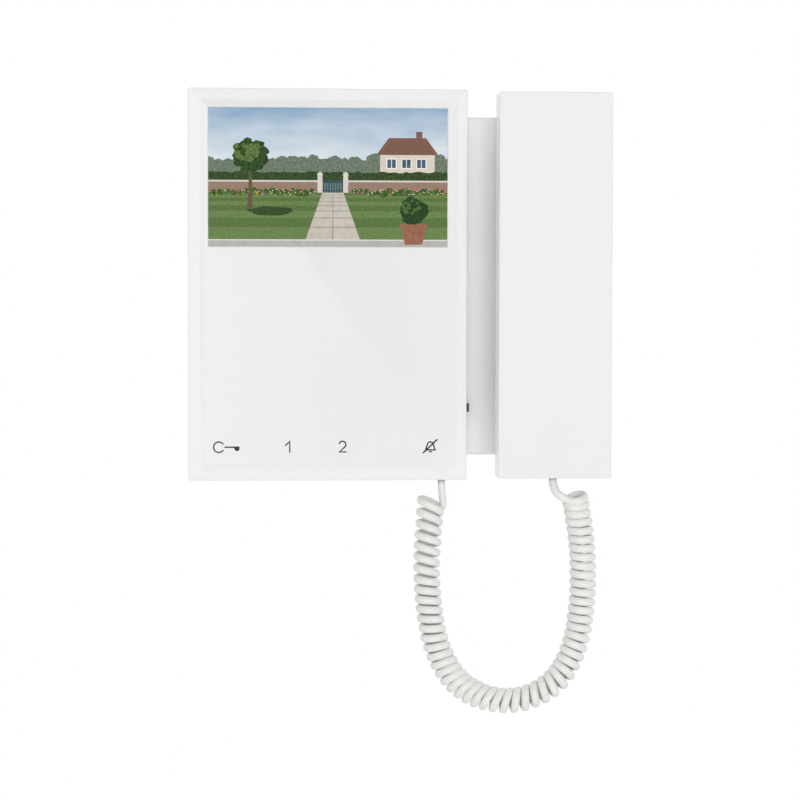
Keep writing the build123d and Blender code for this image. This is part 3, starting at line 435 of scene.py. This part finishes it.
MONITOR_LEAD = [
    MONITOR_EXIT,
    (46.4, -15.3, -81.5),
    (46.6, -15.3, -84.8),
    (47.1, -15.1, -87.6),
    (47.0, -14.0, -90.0),
    (46.0, -12.8, -90.5),
]
HANDSET_LEAD = [
    (92.2, -39.6, -83.9),
    (90.3, -38.7, -82.2),
    (89.4, -37.7, -80.2),
    (89.0, -37.1, -78.1),
    HANDSET_EXIT,
]

# Share of the turns, and there the spacing of the turns, their lean, their tilt and their radius to
# the middle of the wire. The lean is in degrees, with the inner side ahead; the tilt is in degrees,
# with the wall side ahead.
COIL_LIE = [
    (0.000, 4.20, 32, 4, 4.20),
    (0.010, 4.20, 13, 4, 4.25),
    (0.020, 4.30, 13, 4, 4.25),
    (0.040, 4.30, 8, 2, 4.25),
    (0.057, 4.30, 4, 0, 4.25),
    (0.076, 4.25, 3, -5, 4.20),
    (0.100, 4.35, 4, -5, 4.15),
    (0.130, 4.40, 3, -4, 4.12),
    (0.150, 3.90, 1, -2, 4.12),
    (0.200, 3.75, 1, -2, 4.12),
    (0.250, 3.85, -1, -2, 4.15),
    (0.300, 3.55, -2, 2, 4.22),
    (0.340, 3.45, 2, 8, 4.25),
    (0.370, 3.30, 6, 11, 4.22),
    (0.420, 3.35, 8, 11, 4.10),
    (0.455, 3.65, 12, 9, 3.90),
    (0.490, 3.75, 10, 4, 3.75),
    (0.510, 3.90, 6, 1, 3.78),
    (0.540, 4.00, 5, -1, 3.90),
    (0.580, 4.05, 6, -6, 4.05),
    (0.610, 3.80, -1, -9, 4.05),
    (0.640, 3.65, -9, -9, 4.02),
    (0.680, 3.75, -5, -6, 4.00),
    (0.710, 3.55, -9, -4, 4.00),
    (0.750, 3.65, -10, -3, 4.00),
    (0.800, 3.70, -6, -2, 4.00),
    (0.860, 3.62, -4, 0, 4.00),
    (0.940, 3.55, -3, 2, 4.00),
    (0.980, 3.30, 2, 8, 4.00),
    (1.000, 3.20, 7, 18, 4.00),
]


def spline_points(control, resolution):
    """Points of the smooth NURBS spline of these control points."""
    curve = bpy.data.curves.new("route", "CURVE")
    curve.dimensions = "3D"
    spline = curve.splines.new("NURBS")
    spline.points.add(len(control) - 1)
    for point, place in zip(spline.points, control):
        point.co = (*place, 1)
    spline.order_u = 3
    spline.use_endpoint_u = True
    spline.resolution_u = resolution
    holder = bpy.data.objects.new("route", curve)
    mesh = bpy.data.meshes.new_from_object(holder)
    line = np.array([vertex.co for vertex in mesh.vertices])
    bpy.data.meshes.remove(mesh)
    bpy.data.objects.remove(holder)
    bpy.data.curves.remove(curve)
    return line


def carried_frames(line, first_side):
    """Distance along a line, its direction, and a side carried along it without twisting."""
    distance = np.concatenate([[0], np.cumsum(np.linalg.norm(np.diff(line, axis=0), axis=1))])
    along = np.gradient(line, axis=0)
    along /= np.linalg.norm(along, axis=1)[:, None]
    side = np.array(first_side, float)
    sides = []
    for direction in along:
        side = side - direction * (side @ direction)
        side /= np.linalg.norm(side)
        sides.append(side)
    return distance, along, np.array(sides)


def helix_points():
    """Control points of the curly part, wound left-handed around its route, and the direction of
    the coil's axis at each."""
    axis = spline_points(COIL_ROUTE, AXIS_STEPS)
    distance, along, inward = carried_frames(axis, (1, 0, 0))
    steps = round(COIL_TURNS * STEPS_PER_TURN)
    shares, spacing, leans, tilts, radii = np.array(COIL_LIE).T
    progress = np.linspace(0, 1, steps + 1)
    travelled = np.concatenate([[0], np.cumsum(np.interp(progress, shares, spacing))[:-1]])
    travelled *= distance[-1] / travelled[-1]
    points, directions = [], []
    for i, (share, reached) in enumerate(zip(progress, travelled)):
        angle = math.radians(FIRST_TURN) + 2 * math.pi * i / STEPS_PER_TURN
        centre, forward, inner = (
            np.array([np.interp(reached, distance, column) for column in table.T])
            for table in (axis, along, inward)
        )
        wallward = np.cross(inner, forward)
        uneven = UNEVENNESS * math.prod(math.sin(wave * angle) for wave in UNEVEN_WAVES)
        radius = np.interp(share, shares, radii) * (1 + uneven)
        lean = math.tan(math.radians(np.interp(share, shares, leans)))
        tilt = math.tan(math.radians(np.interp(share, shares, tilts)))
        across = math.cos(angle) * inner + math.sin(angle) * wallward
        ahead = (lean * math.cos(angle) + tilt * math.sin(angle)) * forward
        points.append(tuple(centre + radius * (across + ahead)))
        directions.append(tuple(forward))
    return points, directions


def tube(line, wide_sides, width, thickness, corners=14):
    """An oval tube with closed ends along a line in millimetres, wide along the given sides."""
    along = np.gradient(line, axis=0)
    points = []
    for place, direction, side in zip(line, along, wide_sides):
        direction = direction / np.linalg.norm(direction)
        side = side - direction * (side @ direction)
        side /= np.linalg.norm(side)
        other = np.cross(direction, side)
        for k in range(corners):
            turn = 2 * math.pi * k / corners
            rim = width / 2 * math.cos(turn) * side + thickness / 2 * math.sin(turn) * other
            points.append(mm(*(place + rim)))
    faces = []
    for ring in range(len(line) - 1):
        for k in range(corners):
            a, b = ring * corners + k, ring * corners + (k + 1) % corners
            faces.append([a, b, b + corners, a + corners])
    faces.append(list(range(corners))[::-1])
    faces.append(list(range(len(points) - corners, len(points))))
    solid = Solid()
    solid.add(points, faces)
    return solid


def make_cord():
    """The whole cord as one piece: lead, coil and lead, along one smooth spline."""
    helix, directions = helix_points()
    line = spline_points(MONITOR_LEAD + helix + HANDSET_LEAD, SPLINE_STEPS)
    wound = spline_points(directions, SPLINE_STEPS)
    first = len(MONITOR_LEAD) * SPLINE_STEPS
    last = first + len(wound)
    # The wire's wide side lies along the coil's axis, and the leads carry it on without a twist
    _, _, before = carried_frames(line[first::-1], wound[0])
    _, _, after = carried_frames(line[last - 1 :], wound[-1])
    sides = np.concatenate([before[:0:-1], wound, after[1:]])
    cord = tube(line, sides, WIRE_WIDTH, WIRE_THICKNESS).piece(
        "curly_cord", [MATERIALS["cord_white"]], None, smooth=True
    )
    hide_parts("cord_coil", "cord_lead_base", "cord_lead_handset")
    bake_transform(cord)


# ---------------------------------------------------------------- printed symbols

FACE = node_box("front_panel")[3]
PRINT = (FACE, FACE + 0.03)
PRINT_WIDTH = 0.55


def ink(name, colour):
    """Screen-printed ink: dense, matt, very slightly uneven."""
    made = Shading(name).colour(colour, 0.12, 0.7, 4).roughness(0.42, 0.55, 0.8)
    return made.relief(0.001, 0.2, 3).material


def make_symbols():
    black = [ink("printing_ink", (0.012, 0.012, 0.013))]

    key = Solid()
    key.ribbon(arc((-43.75, -64.97), 2.1, 32, 328, 40), PRINT_WIDTH, PRINT)
    key.ribbon([(-41.5, -64.97), (-35.5, -64.97)], PRINT_WIDTH, PRINT)
    key.prism([(-37.8, -65.2), (-35.5, -65.2), (-35.6, -66.2), (-36.0, -66.5), (-37.1, -66.5)], PRINT)
    key.piece("key_symbol", black, "base")

    one = Solid()
    one.ribbon([(-17.2, -64.4), (-15.35, -62.75), (-15.35, -67.2)], PRINT_WIDTH, PRINT)
    one.piece("digit_one_symbol", black, "base")

    two = Solid()
    bowl = arc((5.85, -64.0), 1.35, 172, -38, 26)
    two.ribbon([*bowl, (4.65, -66.95), (7.45, -66.95)], PRINT_WIDTH, PRINT)
    two.piece("digit_two_symbol", black, "base")

    bell = Solid()
    dome = arc((41.25, -64.15), 1.15, 165, 15, 14)
    bell.ribbon([(39.35, -66.2), *dome, (43.2, -66.2), (39.35, -66.2)], 0.55, PRINT)
    bell.ribbon(arc((41.35, -66.5), 0.55, 200, 340, 8), 0.5, PRINT)
    bell.ribbon([(38.3, -67.5), (44.1, -61.95)], 0.6, PRINT)
    bell.piece("crossed_bell_symbol", black, "base")


# ---------------------------------------------------------------- display picture

LENS = node_box("display_lens")
WINDOW_Z = (LENS[4] + LENS[5]) / 2
GLASS_FRONT = node_box("lcd_glass")[3]
PICTURE_SIDE = 48.35  # from the middle to either side
PICTURE_TOP = 28.15  # from the middle to the top, and to the bottom
PICTURE_GAP = 0.01  # between the display glass and the first layer
LAYER_STEP = 0.011
LAYER_THICKNESS = 0.007
VANISHING = (2.0, 6.0)  # where the edges of the path would meet
STEP_EDGE = -25.0  # far edge of the doorstep
WALL_FOOT = -6.0
WALL_TOP = -1.6
HEDGE_TOP = 2.2
PATH_EDGES = (-9.0, 13.0)  # where the path meets the doorstep
JOINT_WIDTH = 0.34  # between the slabs, at the doorstep
ROW_GROWTH = 0.2  # how much further away each row of paving ends, as a share of the first


def glowing(name, stops, size_mm, lean=(0, 0), middle=(0, 0), grain=0.5, stretch=None):
    """A patch of the lit picture. Noise and a slope across the picture choose the colour.

    lean is how much the ramp moves per millimetre along X and Z from the middle; grain is the
    noise's share of the ramp."""
    made = Shading(name)
    noise = made.noise(size_mm, 5.0, stretch)
    axes = made.node("ShaderNodeSeparateXYZ")
    made.link(made.place, axes.inputs["Vector"])
    value = made.maths("MULTIPLY_ADD", noise, grain, 0.5 - grain / 2)
    for axis, slope, centre in (("X", lean[0], middle[0]), ("Z", lean[1], middle[1] + WINDOW_Z)):
        sloped = made.maths("MULTIPLY_ADD", axes.outputs[axis], slope / MM, -slope * centre)
        value = made.maths("ADD", value, sloped)
    shade = made.ramp(value, [(position, srgb(*colour)) for position, colour in stops])
    made.link(shade, made.shader.inputs["Emission Color"])
    made.set(Base_Color=(0, 0, 0, 1), Roughness=0.5, Emission_Strength=1.0, Specular_IOR_Level=0.0)
    return made.material


class Picture:
    """Thin lit layers stacked from the display glass towards the lens. Points are millimetres
    from the middle of the window."""

    def __init__(self):
        self.solid = Solid()
        self.materials = []
        self.depth = GLASS_FRONT + PICTURE_GAP

    def layer(self, name, stops, size_mm, **looks):
        """Starts the next layer, of its own material, in front of the last."""
        self.paint = len(self.materials)
        self.materials.append(glowing("picture_" + name, stops, size_mm, **looks))
        self.depth += LAYER_STEP
        self.depths = (self.depth, self.depth + LAYER_THICKNESS)

    def kept(self, points):
        """Points moved to the window's middle and kept within the picture."""
        limits = (PICTURE_SIDE, PICTURE_TOP)
        kept = [[max(-limit, min(limit, v)) for v, limit in zip(point, limits)] for point in points]
        return [(x, WINDOW_Z + z) for x, z in kept]

    def fill(self, outline):
        self.solid.prism(self.kept(outline), self.depths, self.paint)

    def stroke(self, line, widths):
        self.solid.ribbon(self.kept(line), widths, self.depths, self.paint)


def on_ground(x, z):
    """The point at height z on the ground line that starts at x on the step and runs away."""
    share = (z - VANISHING[1]) / (STEP_EDGE - VANISHING[1])
    return (between(VANISHING[0], x, share), z)


def row(number):
    """The height in the picture at which a row of paving ends."""
    return VANISHING[1] + (STEP_EDGE - VANISHING[1]) / (1 + ROW_GROWTH * number)


def clump(centre, size, rng, flatness=0.85):
    """A rough round outline, a little wider than it is high."""
    turns = [math.radians(18 * i) for i in range(20)]
    return [
        (
            centre[0] + size * rng.uniform(0.8, 1.1) * math.cos(turn),
            centre[1] + size * flatness * rng.uniform(0.8, 1.1) * math.sin(turn),
        )
        for turn in turns
    ]


def scatter_leaves(picture, centre, radius, count, sizes, rng):
    """Clumps of leaves scattered evenly over a round mass."""
    for _ in range(count):
        turn = rng.uniform(0, 2 * math.pi)
        reach = radius * math.sqrt(rng.uniform(0, 1))
        place = (centre[0] + reach * math.cos(turn), centre[1] + 0.85 * reach * math.sin(turn))
        picture.fill(clump(place, rng.uniform(*sizes), rng))


def block(left, low, right, high):
    """The outline of an upright rectangle."""
    return [(left, low), (right, low), (right, high), (left, high)]


def band(low, high):
    """An outline right across the picture."""
    return block(-PICTURE_SIDE, low, PICTURE_SIDE, high)


def draw_distance(picture, rng):
    """Sky and far trees."""
    sky = [(0.2, (230, 234, 236)), (0.5, (198, 212, 224)), (0.85, (140, 170, 200))]
    picture.layer("sky", sky, 13, lean=(0, 0.022), middle=(0, 16), grain=0.6, stretch=(0.5, 1, 1.7))
    picture.fill(band(-PICTURE_TOP, PICTURE_TOP))
    picture.layer("far_trees", [(0.3, (88, 104, 94)), (0.7, (132, 144, 124))], 0.9, grain=1.0)
    for i in range(24):
        picture.fill(clump((-48 + 4.2 * i, rng.uniform(4.5, 7.0)), rng.uniform(2.6, 4.0), rng))
    picture.fill(band(WALL_FOOT, 5.0))


def draw_house(picture):
    """A plain house with a hipped roof, a chimney and three windows."""
    picture.layer("house_wall", [(0.3, (208, 200, 184)), (0.7, (226, 219, 205))], 3)
    picture.fill(block(21, 0, 43, 9.5))
    picture.layer("house_roof", [(0.3, (112, 80, 70)), (0.7, (144, 108, 96))], 0.8, stretch=(1, 1, 3))
    picture.fill([(19.5, 9.2), (44.5, 9.2), (39.5, 16), (24.5, 16)])
    picture.fill(block(35.5, 14, 38.0, 18.5))
    windows = (23.5, 29.5, 35.5)
    picture.layer("house_frames", [(0.3, (236, 236, 232)), (0.7, (248, 248, 246))], 3)
    for left in windows:
        picture.fill(block(left, 3.6, left + 4.2, 7.8))
    picture.layer("house_panes", [(0.3, (58, 72, 88)), (0.7, (98, 116, 132))], 2)
    for left in windows:
        for pane in (left + 0.4, left + 2.25):
            picture.fill(block(pane, 4.0, pane + 1.55, 7.4))


def draw_hedge(picture, rng):
    picture.layer("hedge", [(0.3, (32, 52, 32)), (0.7, (78, 100, 60))], 0.7, grain=1.0)
    places = [-PICTURE_SIDE + 1.45 * i for i in range(67)]
    tops = [(x, HEDGE_TOP + rng.uniform(-0.35, 0.35)) for x in places]
    ends = [(PICTURE_SIDE, HEDGE_TOP), (PICTURE_SIDE, WALL_FOOT)]
    picture.fill([(-PICTURE_SIDE, WALL_FOOT), *tops, *ends])


def draw_boundary(picture):
    """Garden wall with a coping, and a painted gate between two pillars."""
    left, right = (on_ground(x, WALL_FOOT)[0] for x in PATH_EDGES)
    sides = ((-PICTURE_SIDE, left), (right, PICTURE_SIDE))
    brick = [(0.3, (138, 112, 98)), (0.7, (168, 142, 126))]
    picture.layer("garden_wall", brick, 0.9, stretch=(1, 1, 3))
    for start, end in sides:
        picture.fill(block(start, WALL_FOOT, end, WALL_TOP))
    picture.layer("gateway_lawn", [(0.3, (104, 120, 96)), (0.7, (132, 148, 116))], 1, grain=1.0)
    picture.fill(block(left, WALL_FOOT, right, WALL_TOP - 0.4))
    picture.layer("gate", [(0.3, (44, 70, 92)), (0.7, (74, 104, 128))], 1, stretch=(4, 1, 1))
    slats = 8
    for i in range(slats):
        x = between(left, right, (i + 0.5) / slats)
        picture.stroke([(x, WALL_FOOT), (x, WALL_TOP + 0.7)], 0.6)
    for rail in (WALL_FOOT + 0.8, WALL_TOP - 0.3):
        picture.stroke([(left, rail), (right, rail)], 0.45)
    picture.layer("coping", [(0.3, (206, 198, 186)), (0.7, (228, 222, 212))], 2)
    for start, end in sides:
        picture.stroke([(start, WALL_TOP + 0.2), (end, WALL_TOP + 0.2)], 0.7)
    for x in (left - 0.9, right + 0.9):
        picture.stroke([(x, WALL_FOOT), (x, 0.4)], 2.0)
        picture.fill(ellipse((x, 1.2), (1.1, 1.1), 20))


def draw_ground(picture):
    """Lawn mown in bands, a paved path and the doorstep."""
    picture.layer("lawn", [(0.3, (78, 104, 58)), (0.7, (108, 132, 80))], 0.7, grain=0.9)
    picture.fill(band(-PICTURE_TOP, WALL_FOOT))
    picture.layer("mown_bands", [(0.3, (92, 118, 68)), (0.7, (124, 148, 92))], 0.7, grain=0.9)
    for number in (0, 2, 4, 6):
        picture.fill(band(row(number), row(number + 1)))

    near = [on_ground(x, STEP_EDGE) for x in PATH_EDGES]
    far = [on_ground(x, WALL_FOOT) for x in PATH_EDGES]
    picture.layer("path", [(0.3, (186, 178, 166)), (0.7, (216, 209, 197))], 2.5)
    picture.fill([*near, *far[::-1]])
    picture.layer("path_joints", [(0.3, (120, 114, 104)), (0.7, (148, 141, 130))], 2)
    for number in range(1, 8):
        ends = [on_ground(x, row(number)) for x in PATH_EDGES]
        picture.stroke(ends, JOINT_WIDTH / (1 + ROW_GROWTH * number))
    centre = sum(PATH_EDGES) / 2
    picture.stroke([on_ground(centre, STEP_EDGE), on_ground(centre, WALL_FOOT)], [JOINT_WIDTH, 0.12])

    picture.layer("doorstep", [(0.3, (170, 168, 164)), (0.7, (196, 194, 189))], 3)
    picture.fill(band(-PICTURE_TOP, STEP_EDGE))
    picture.layer("step_nosing", [(0.3, (212, 210, 205)), (0.7, (230, 228, 223))], 3)
    picture.stroke([(-PICTURE_SIDE, STEP_EDGE), (PICTURE_SIDE, STEP_EDGE)], 0.5)


def draw_border(picture, rng):
    """Flowers along the foot of the wall, on both sides of the gate."""
    beds = ((-47.0, -5.0), (9.5, 47.0))
    picture.layer("border", [(0.3, (34, 66, 34)), (0.7, (92, 124, 62))], 0.6, grain=1.0)
    for start, end in beds:
        for i in range(16):
            place = (between(start, end, (i + 0.5) / 16), WALL_FOOT + rng.uniform(-0.6, 0.9))
            picture.fill(clump(place, rng.uniform(1.1, 1.9), rng))
    flowers = {"pink": (208, 96, 128), "yellow": (232, 196, 84), "white": (240, 238, 232)}
    for name, colour in flowers.items():
        darker = tuple(int(0.82 * part) for part in colour)
        picture.layer("flowers_" + name, [(0.3, darker), (0.7, colour)], 1)
        for start, end in beds:
            for _ in range(22):
                place = (rng.uniform(start, end), WALL_FOOT + rng.uniform(-1.0, 1.5))
                picture.fill(ellipse(place, (0.26, 0.22), 8))


def draw_tree(picture, rng):
    """A round-headed tree on the lawn, lit from the left, and its shadow."""
    picture.layer("tree_shadow", [(0.3, (48, 70, 40)), (0.7, (70, 92, 54))], 0.7, grain=0.9)
    picture.fill(clump((-22.5, -13.4), 9.5, rng, 0.22))
    picture.layer("trunk", [(0.3, (84, 66, 50)), (0.7, (130, 108, 84))], 1, stretch=(3, 1, 1))
    picture.stroke([(-31.4, -12.6), (-31.0, -6.0), (-31.2, 2.0)], [2.3, 1.6, 1.2])
    picture.layer("crown", [(0.3, (34, 58, 34)), (0.7, (72, 98, 54))], 1.0, grain=1.0)
    picture.fill(clump((-31.0, 8.5), 7.0, rng))
    scatter_leaves(picture, (-31.0, 8.5), 7.0, 34, (1.3, 2.2), rng)
    picture.layer("crown_lit", [(0.3, (70, 96, 52)), (0.7, (116, 138, 82))], 1.0, grain=1.0)
    scatter_leaves(picture, (-32.6, 10.6), 4.8, 26, (0.7, 1.5), rng)


def draw_shrub(picture, rng):
    """A clipped shrub in a pot on the doorstep."""
    picture.layer("pot", [(0.3, (138, 92, 72)), (0.7, (168, 120, 98))], 2)
    picture.fill([(31.0, -26.8), (29.4, -19.6), (39.6, -19.6), (38.0, -26.8)])
    picture.stroke([(28.9, -19.2), (40.1, -19.2)], 1.3)
    picture.layer("shrub", [(0.3, (28, 50, 32)), (0.7, (62, 88, 52))], 0.8, grain=1.0)
    picture.fill(clump((34.5, -13.2), 5.6, rng, 1))
    scatter_leaves(picture, (34.5, -13.2), 5.4, 26, (0.9, 1.6), rng)
    picture.layer("shrub_lit", [(0.3, (60, 86, 48)), (0.7, (102, 126, 72))], 0.8, grain=1.0)
    scatter_leaves(picture, (33.3, -11.6), 3.4, 20, (0.5, 1.0), rng)


def make_picture():
    """A plain front garden with a path to a gate, as any door camera might show one."""
    picture = Picture()
    rng = random.Random(11)
    draw_distance(picture, rng)
    draw_house(picture)
    draw_hedge(picture, rng)
    draw_boundary(picture)
    draw_ground(picture)
    draw_border(picture, rng)
    draw_tree(picture, rng)
    draw_shrub(picture, rng)
    picture.solid.piece("display_picture", picture.materials, "base")


# ---------------------------------------------------------------- camera and light

CAMERA_PLACE = mm(-37.1, -1031.5, 3.2)
CAMERA_TURN = 3.7445  # degrees towards the right
CAMERA_DROP = 2.789  # degrees below the horizon
CAMERA_ROLL = 0.1287
CAMERA_LENS = 113.28
CAMERA_SENSOR = 36


def make_camera():
    camera = bpy.data.objects.new("camera", bpy.data.cameras.new("camera"))
    camera.data.lens = CAMERA_LENS
    camera.data.sensor_width = CAMERA_SENSOR
    aim = Matrix.Rotation(math.radians(-CAMERA_TURN), 4, "Z")
    aim @= Matrix.Rotation(math.radians(90 - CAMERA_DROP), 4, "X")
    aim @= Matrix.Rotation(math.radians(CAMERA_ROLL), 4, "Z")
    camera.matrix_world = Matrix.Translation(CAMERA_PLACE) @ aim
    bpy.context.scene.collection.objects.link(camera)
    bpy.context.scene.camera = camera


# Brightness of the room by direction: 0 looks away from the object's front, 1 looks out of it
ROOM = [
    (0.00, 1.00),
    (0.50, 1.00),
    (0.62, 0.62),
    (0.75, 0.40),
    (0.88, 0.52),
    (0.93, 1.05),
    (0.965, 1.25),
    (0.985, 1.00),
    (0.992, 1.15),
    (1.00, 1.15),
]


def make_room():
    """White room light that depends only on how far a direction is from straight out of the wall."""
    world = bpy.data.worlds.new("room")
    bpy.context.scene.world = world
    world.use_nodes = True
    tree = world.node_tree
    direction = tree.nodes.new("ShaderNodeTexCoord")
    dot = tree.nodes.new("ShaderNodeVectorMath")
    dot.operation = "DOT_PRODUCT"
    dot.inputs[1].default_value = (0, -1, 0)
    scaled = tree.nodes.new("ShaderNodeMapRange")
    scaled.inputs["From Min"].default_value = -1
    ramp = tree.nodes.new("ShaderNodeValToRGB")
    tree.links.new(direction.outputs["Generated"], dot.inputs[0])
    tree.links.new(dot.outputs["Value"], scaled.inputs["Value"])
    tree.links.new(scaled.outputs["Result"], ramp.inputs["Fac"])
    fill_ramp(ramp, [(position, (value,) * 3) for position, value in ROOM])
    tree.links.new(ramp.outputs["Color"], tree.nodes["Background"].inputs["Color"])


SOFTBOX_PLACE = mm(110, -1900, 60)
SOFTBOX_AIM = mm(27, -20, -40)
SOFTBOX_SIZE = 700
SOFTBOX_POWER = 10.3  # watts


def make_softbox():
    """A square soft light aimed at the object, which its gloss and its lens don't show."""
    lamp = bpy.data.lights.new("front_softbox", "AREA")
    lamp.size = SOFTBOX_SIZE * MM
    lamp.energy = SOFTBOX_POWER
    made = bpy.data.objects.new("front_softbox", lamp)
    made.location = SOFTBOX_PLACE
    made.rotation_euler = (SOFTBOX_AIM - SOFTBOX_PLACE).to_track_quat("-Z", "Y").to_euler()
    made.visible_glossy = False
    made.visible_transmission = False
    bpy.context.scene.collection.objects.link(made)


FLOOR_HALF = 2500
FLOOR_LEVEL = -950


def make_floor():
    """Plain pale floor, well below the hanging object."""
    floor = Solid()
    corners = block(-FLOOR_HALF, -FLOOR_HALF, FLOOR_HALF, FLOOR_HALF)
    floor.add([mm(x, y, FLOOR_LEVEL) for x, y in corners], [[0, 1, 2, 3]])
    pale = Shading("floor").colour((0.80, 0.80, 0.79), 0.02, 300).roughness(0.5, 0.6, 100)
    floor.piece("floor", [pale.material], None)


CARD_LIGHT = 2.5  # the brightest a card can be
CARD_DISTANCE = 2000
CARD_GAP = 10  # by which the border cards stand nearer
# Name, direction in degrees from +X, inner radius and brightness
BORDER_CARDS = [
    ("right_card", 0, 700, 2.3),
    ("top_card", 90, 600, 1.75),
    ("left_card", 180, 430, 2.3),
    ("bottom_card", 270, 600, 1.75),
]
BORDER_CARD_RADIUS = 1150
BORDER_CARD_STEPS = 24
CARD_EDGE = ((-260, 461), (290, -312))  # top and bottom end of the slanting edge, in X and Z
SHADE_CORNER = (1100, 900)  # the shade card's corner that is furthest from that edge
BRIGHT_CORNER = (-300, -420)  # the bright card's


def make_card(name, away, corners, faces, span, levels):
    """A lit card behind the camera that only shows in the gloss. Its brightness goes from the
    first level to the second over a span of X."""
    card = Solid()
    card.add([mm(x, -away, z) for x, z in corners], faces)
    lit = Shading(name).set(Base_Color=(0, 0, 0, 1), Roughness=1.0, Specular_IOR_Level=0.0)
    axes = lit.node("ShaderNodeSeparateXYZ")
    lit.link(lit.place, axes.inputs["Vector"])
    rise = lit.node("ShaderNodeMapRange")
    rise.inputs["From Min"].default_value = span[0] * MM
    rise.inputs["From Max"].default_value = span[1] * MM
    lit.link(axes.outputs["X"], rise.inputs["Value"])
    stops = [(0.0, (levels[0] / CARD_LIGHT,) * 3), (1.0, (levels[1] / CARD_LIGHT,) * 3)]
    lit.link(lit.ramp(rise.outputs["Result"], stops), lit.shader.inputs["Emission Color"])
    lit.set(Emission_Strength=CARD_LIGHT)
    made = card.piece(name, [lit.material], None)
    made.visible_camera = False
    made.visible_diffuse = False
    made.visible_shadow = False


def make_cards():
    """The glossy face mirrors a bright card and a dark one, which meet along a slanting edge."""
    top, bottom = CARD_EDGE
    pentagon = [list(range(5))]
    x, z = SHADE_CORNER
    shade = [bottom, (x, bottom[1]), (x, z), (top[0], z), top]
    make_card("shade_card", CARD_DISTANCE, shade, pentagon, (60, 250), (0.05, 1.25))
    x, z = BRIGHT_CORNER
    bright = [top, (x, top[1]), (x, z), (bottom[0], z), bottom]
    make_card("bright_card", CARD_DISTANCE, bright, pentagon, (-100, 60), (1.9, 1.15))
    # The borders, which curve back, mirror cards further out on their own side
    for name, middle, inner, level in BORDER_CARDS:
        corners = [
            point
            for radius in (inner, BORDER_CARD_RADIUS)
            for point in arc((0, 0), radius, middle - 45, middle + 45, BORDER_CARD_STEPS)
        ]
        n = BORDER_CARD_STEPS + 1
        faces = [[i, i + 1, n + i + 1, n + i] for i in range(BORDER_CARD_STEPS)]
        span = (-BORDER_CARD_RADIUS, BORDER_CARD_RADIUS)
        make_card(name, CARD_DISTANCE - CARD_GAP, corners, faces, span, (level, level))


# ---------------------------------------------------------------- the scene

dress_cad_nodes()
make_cord()
make_symbols()
make_picture()
make_camera()
make_room()
make_softbox()
make_floor()
make_cards()
bpy.context.scene.view_settings.view_transform = "Standard"
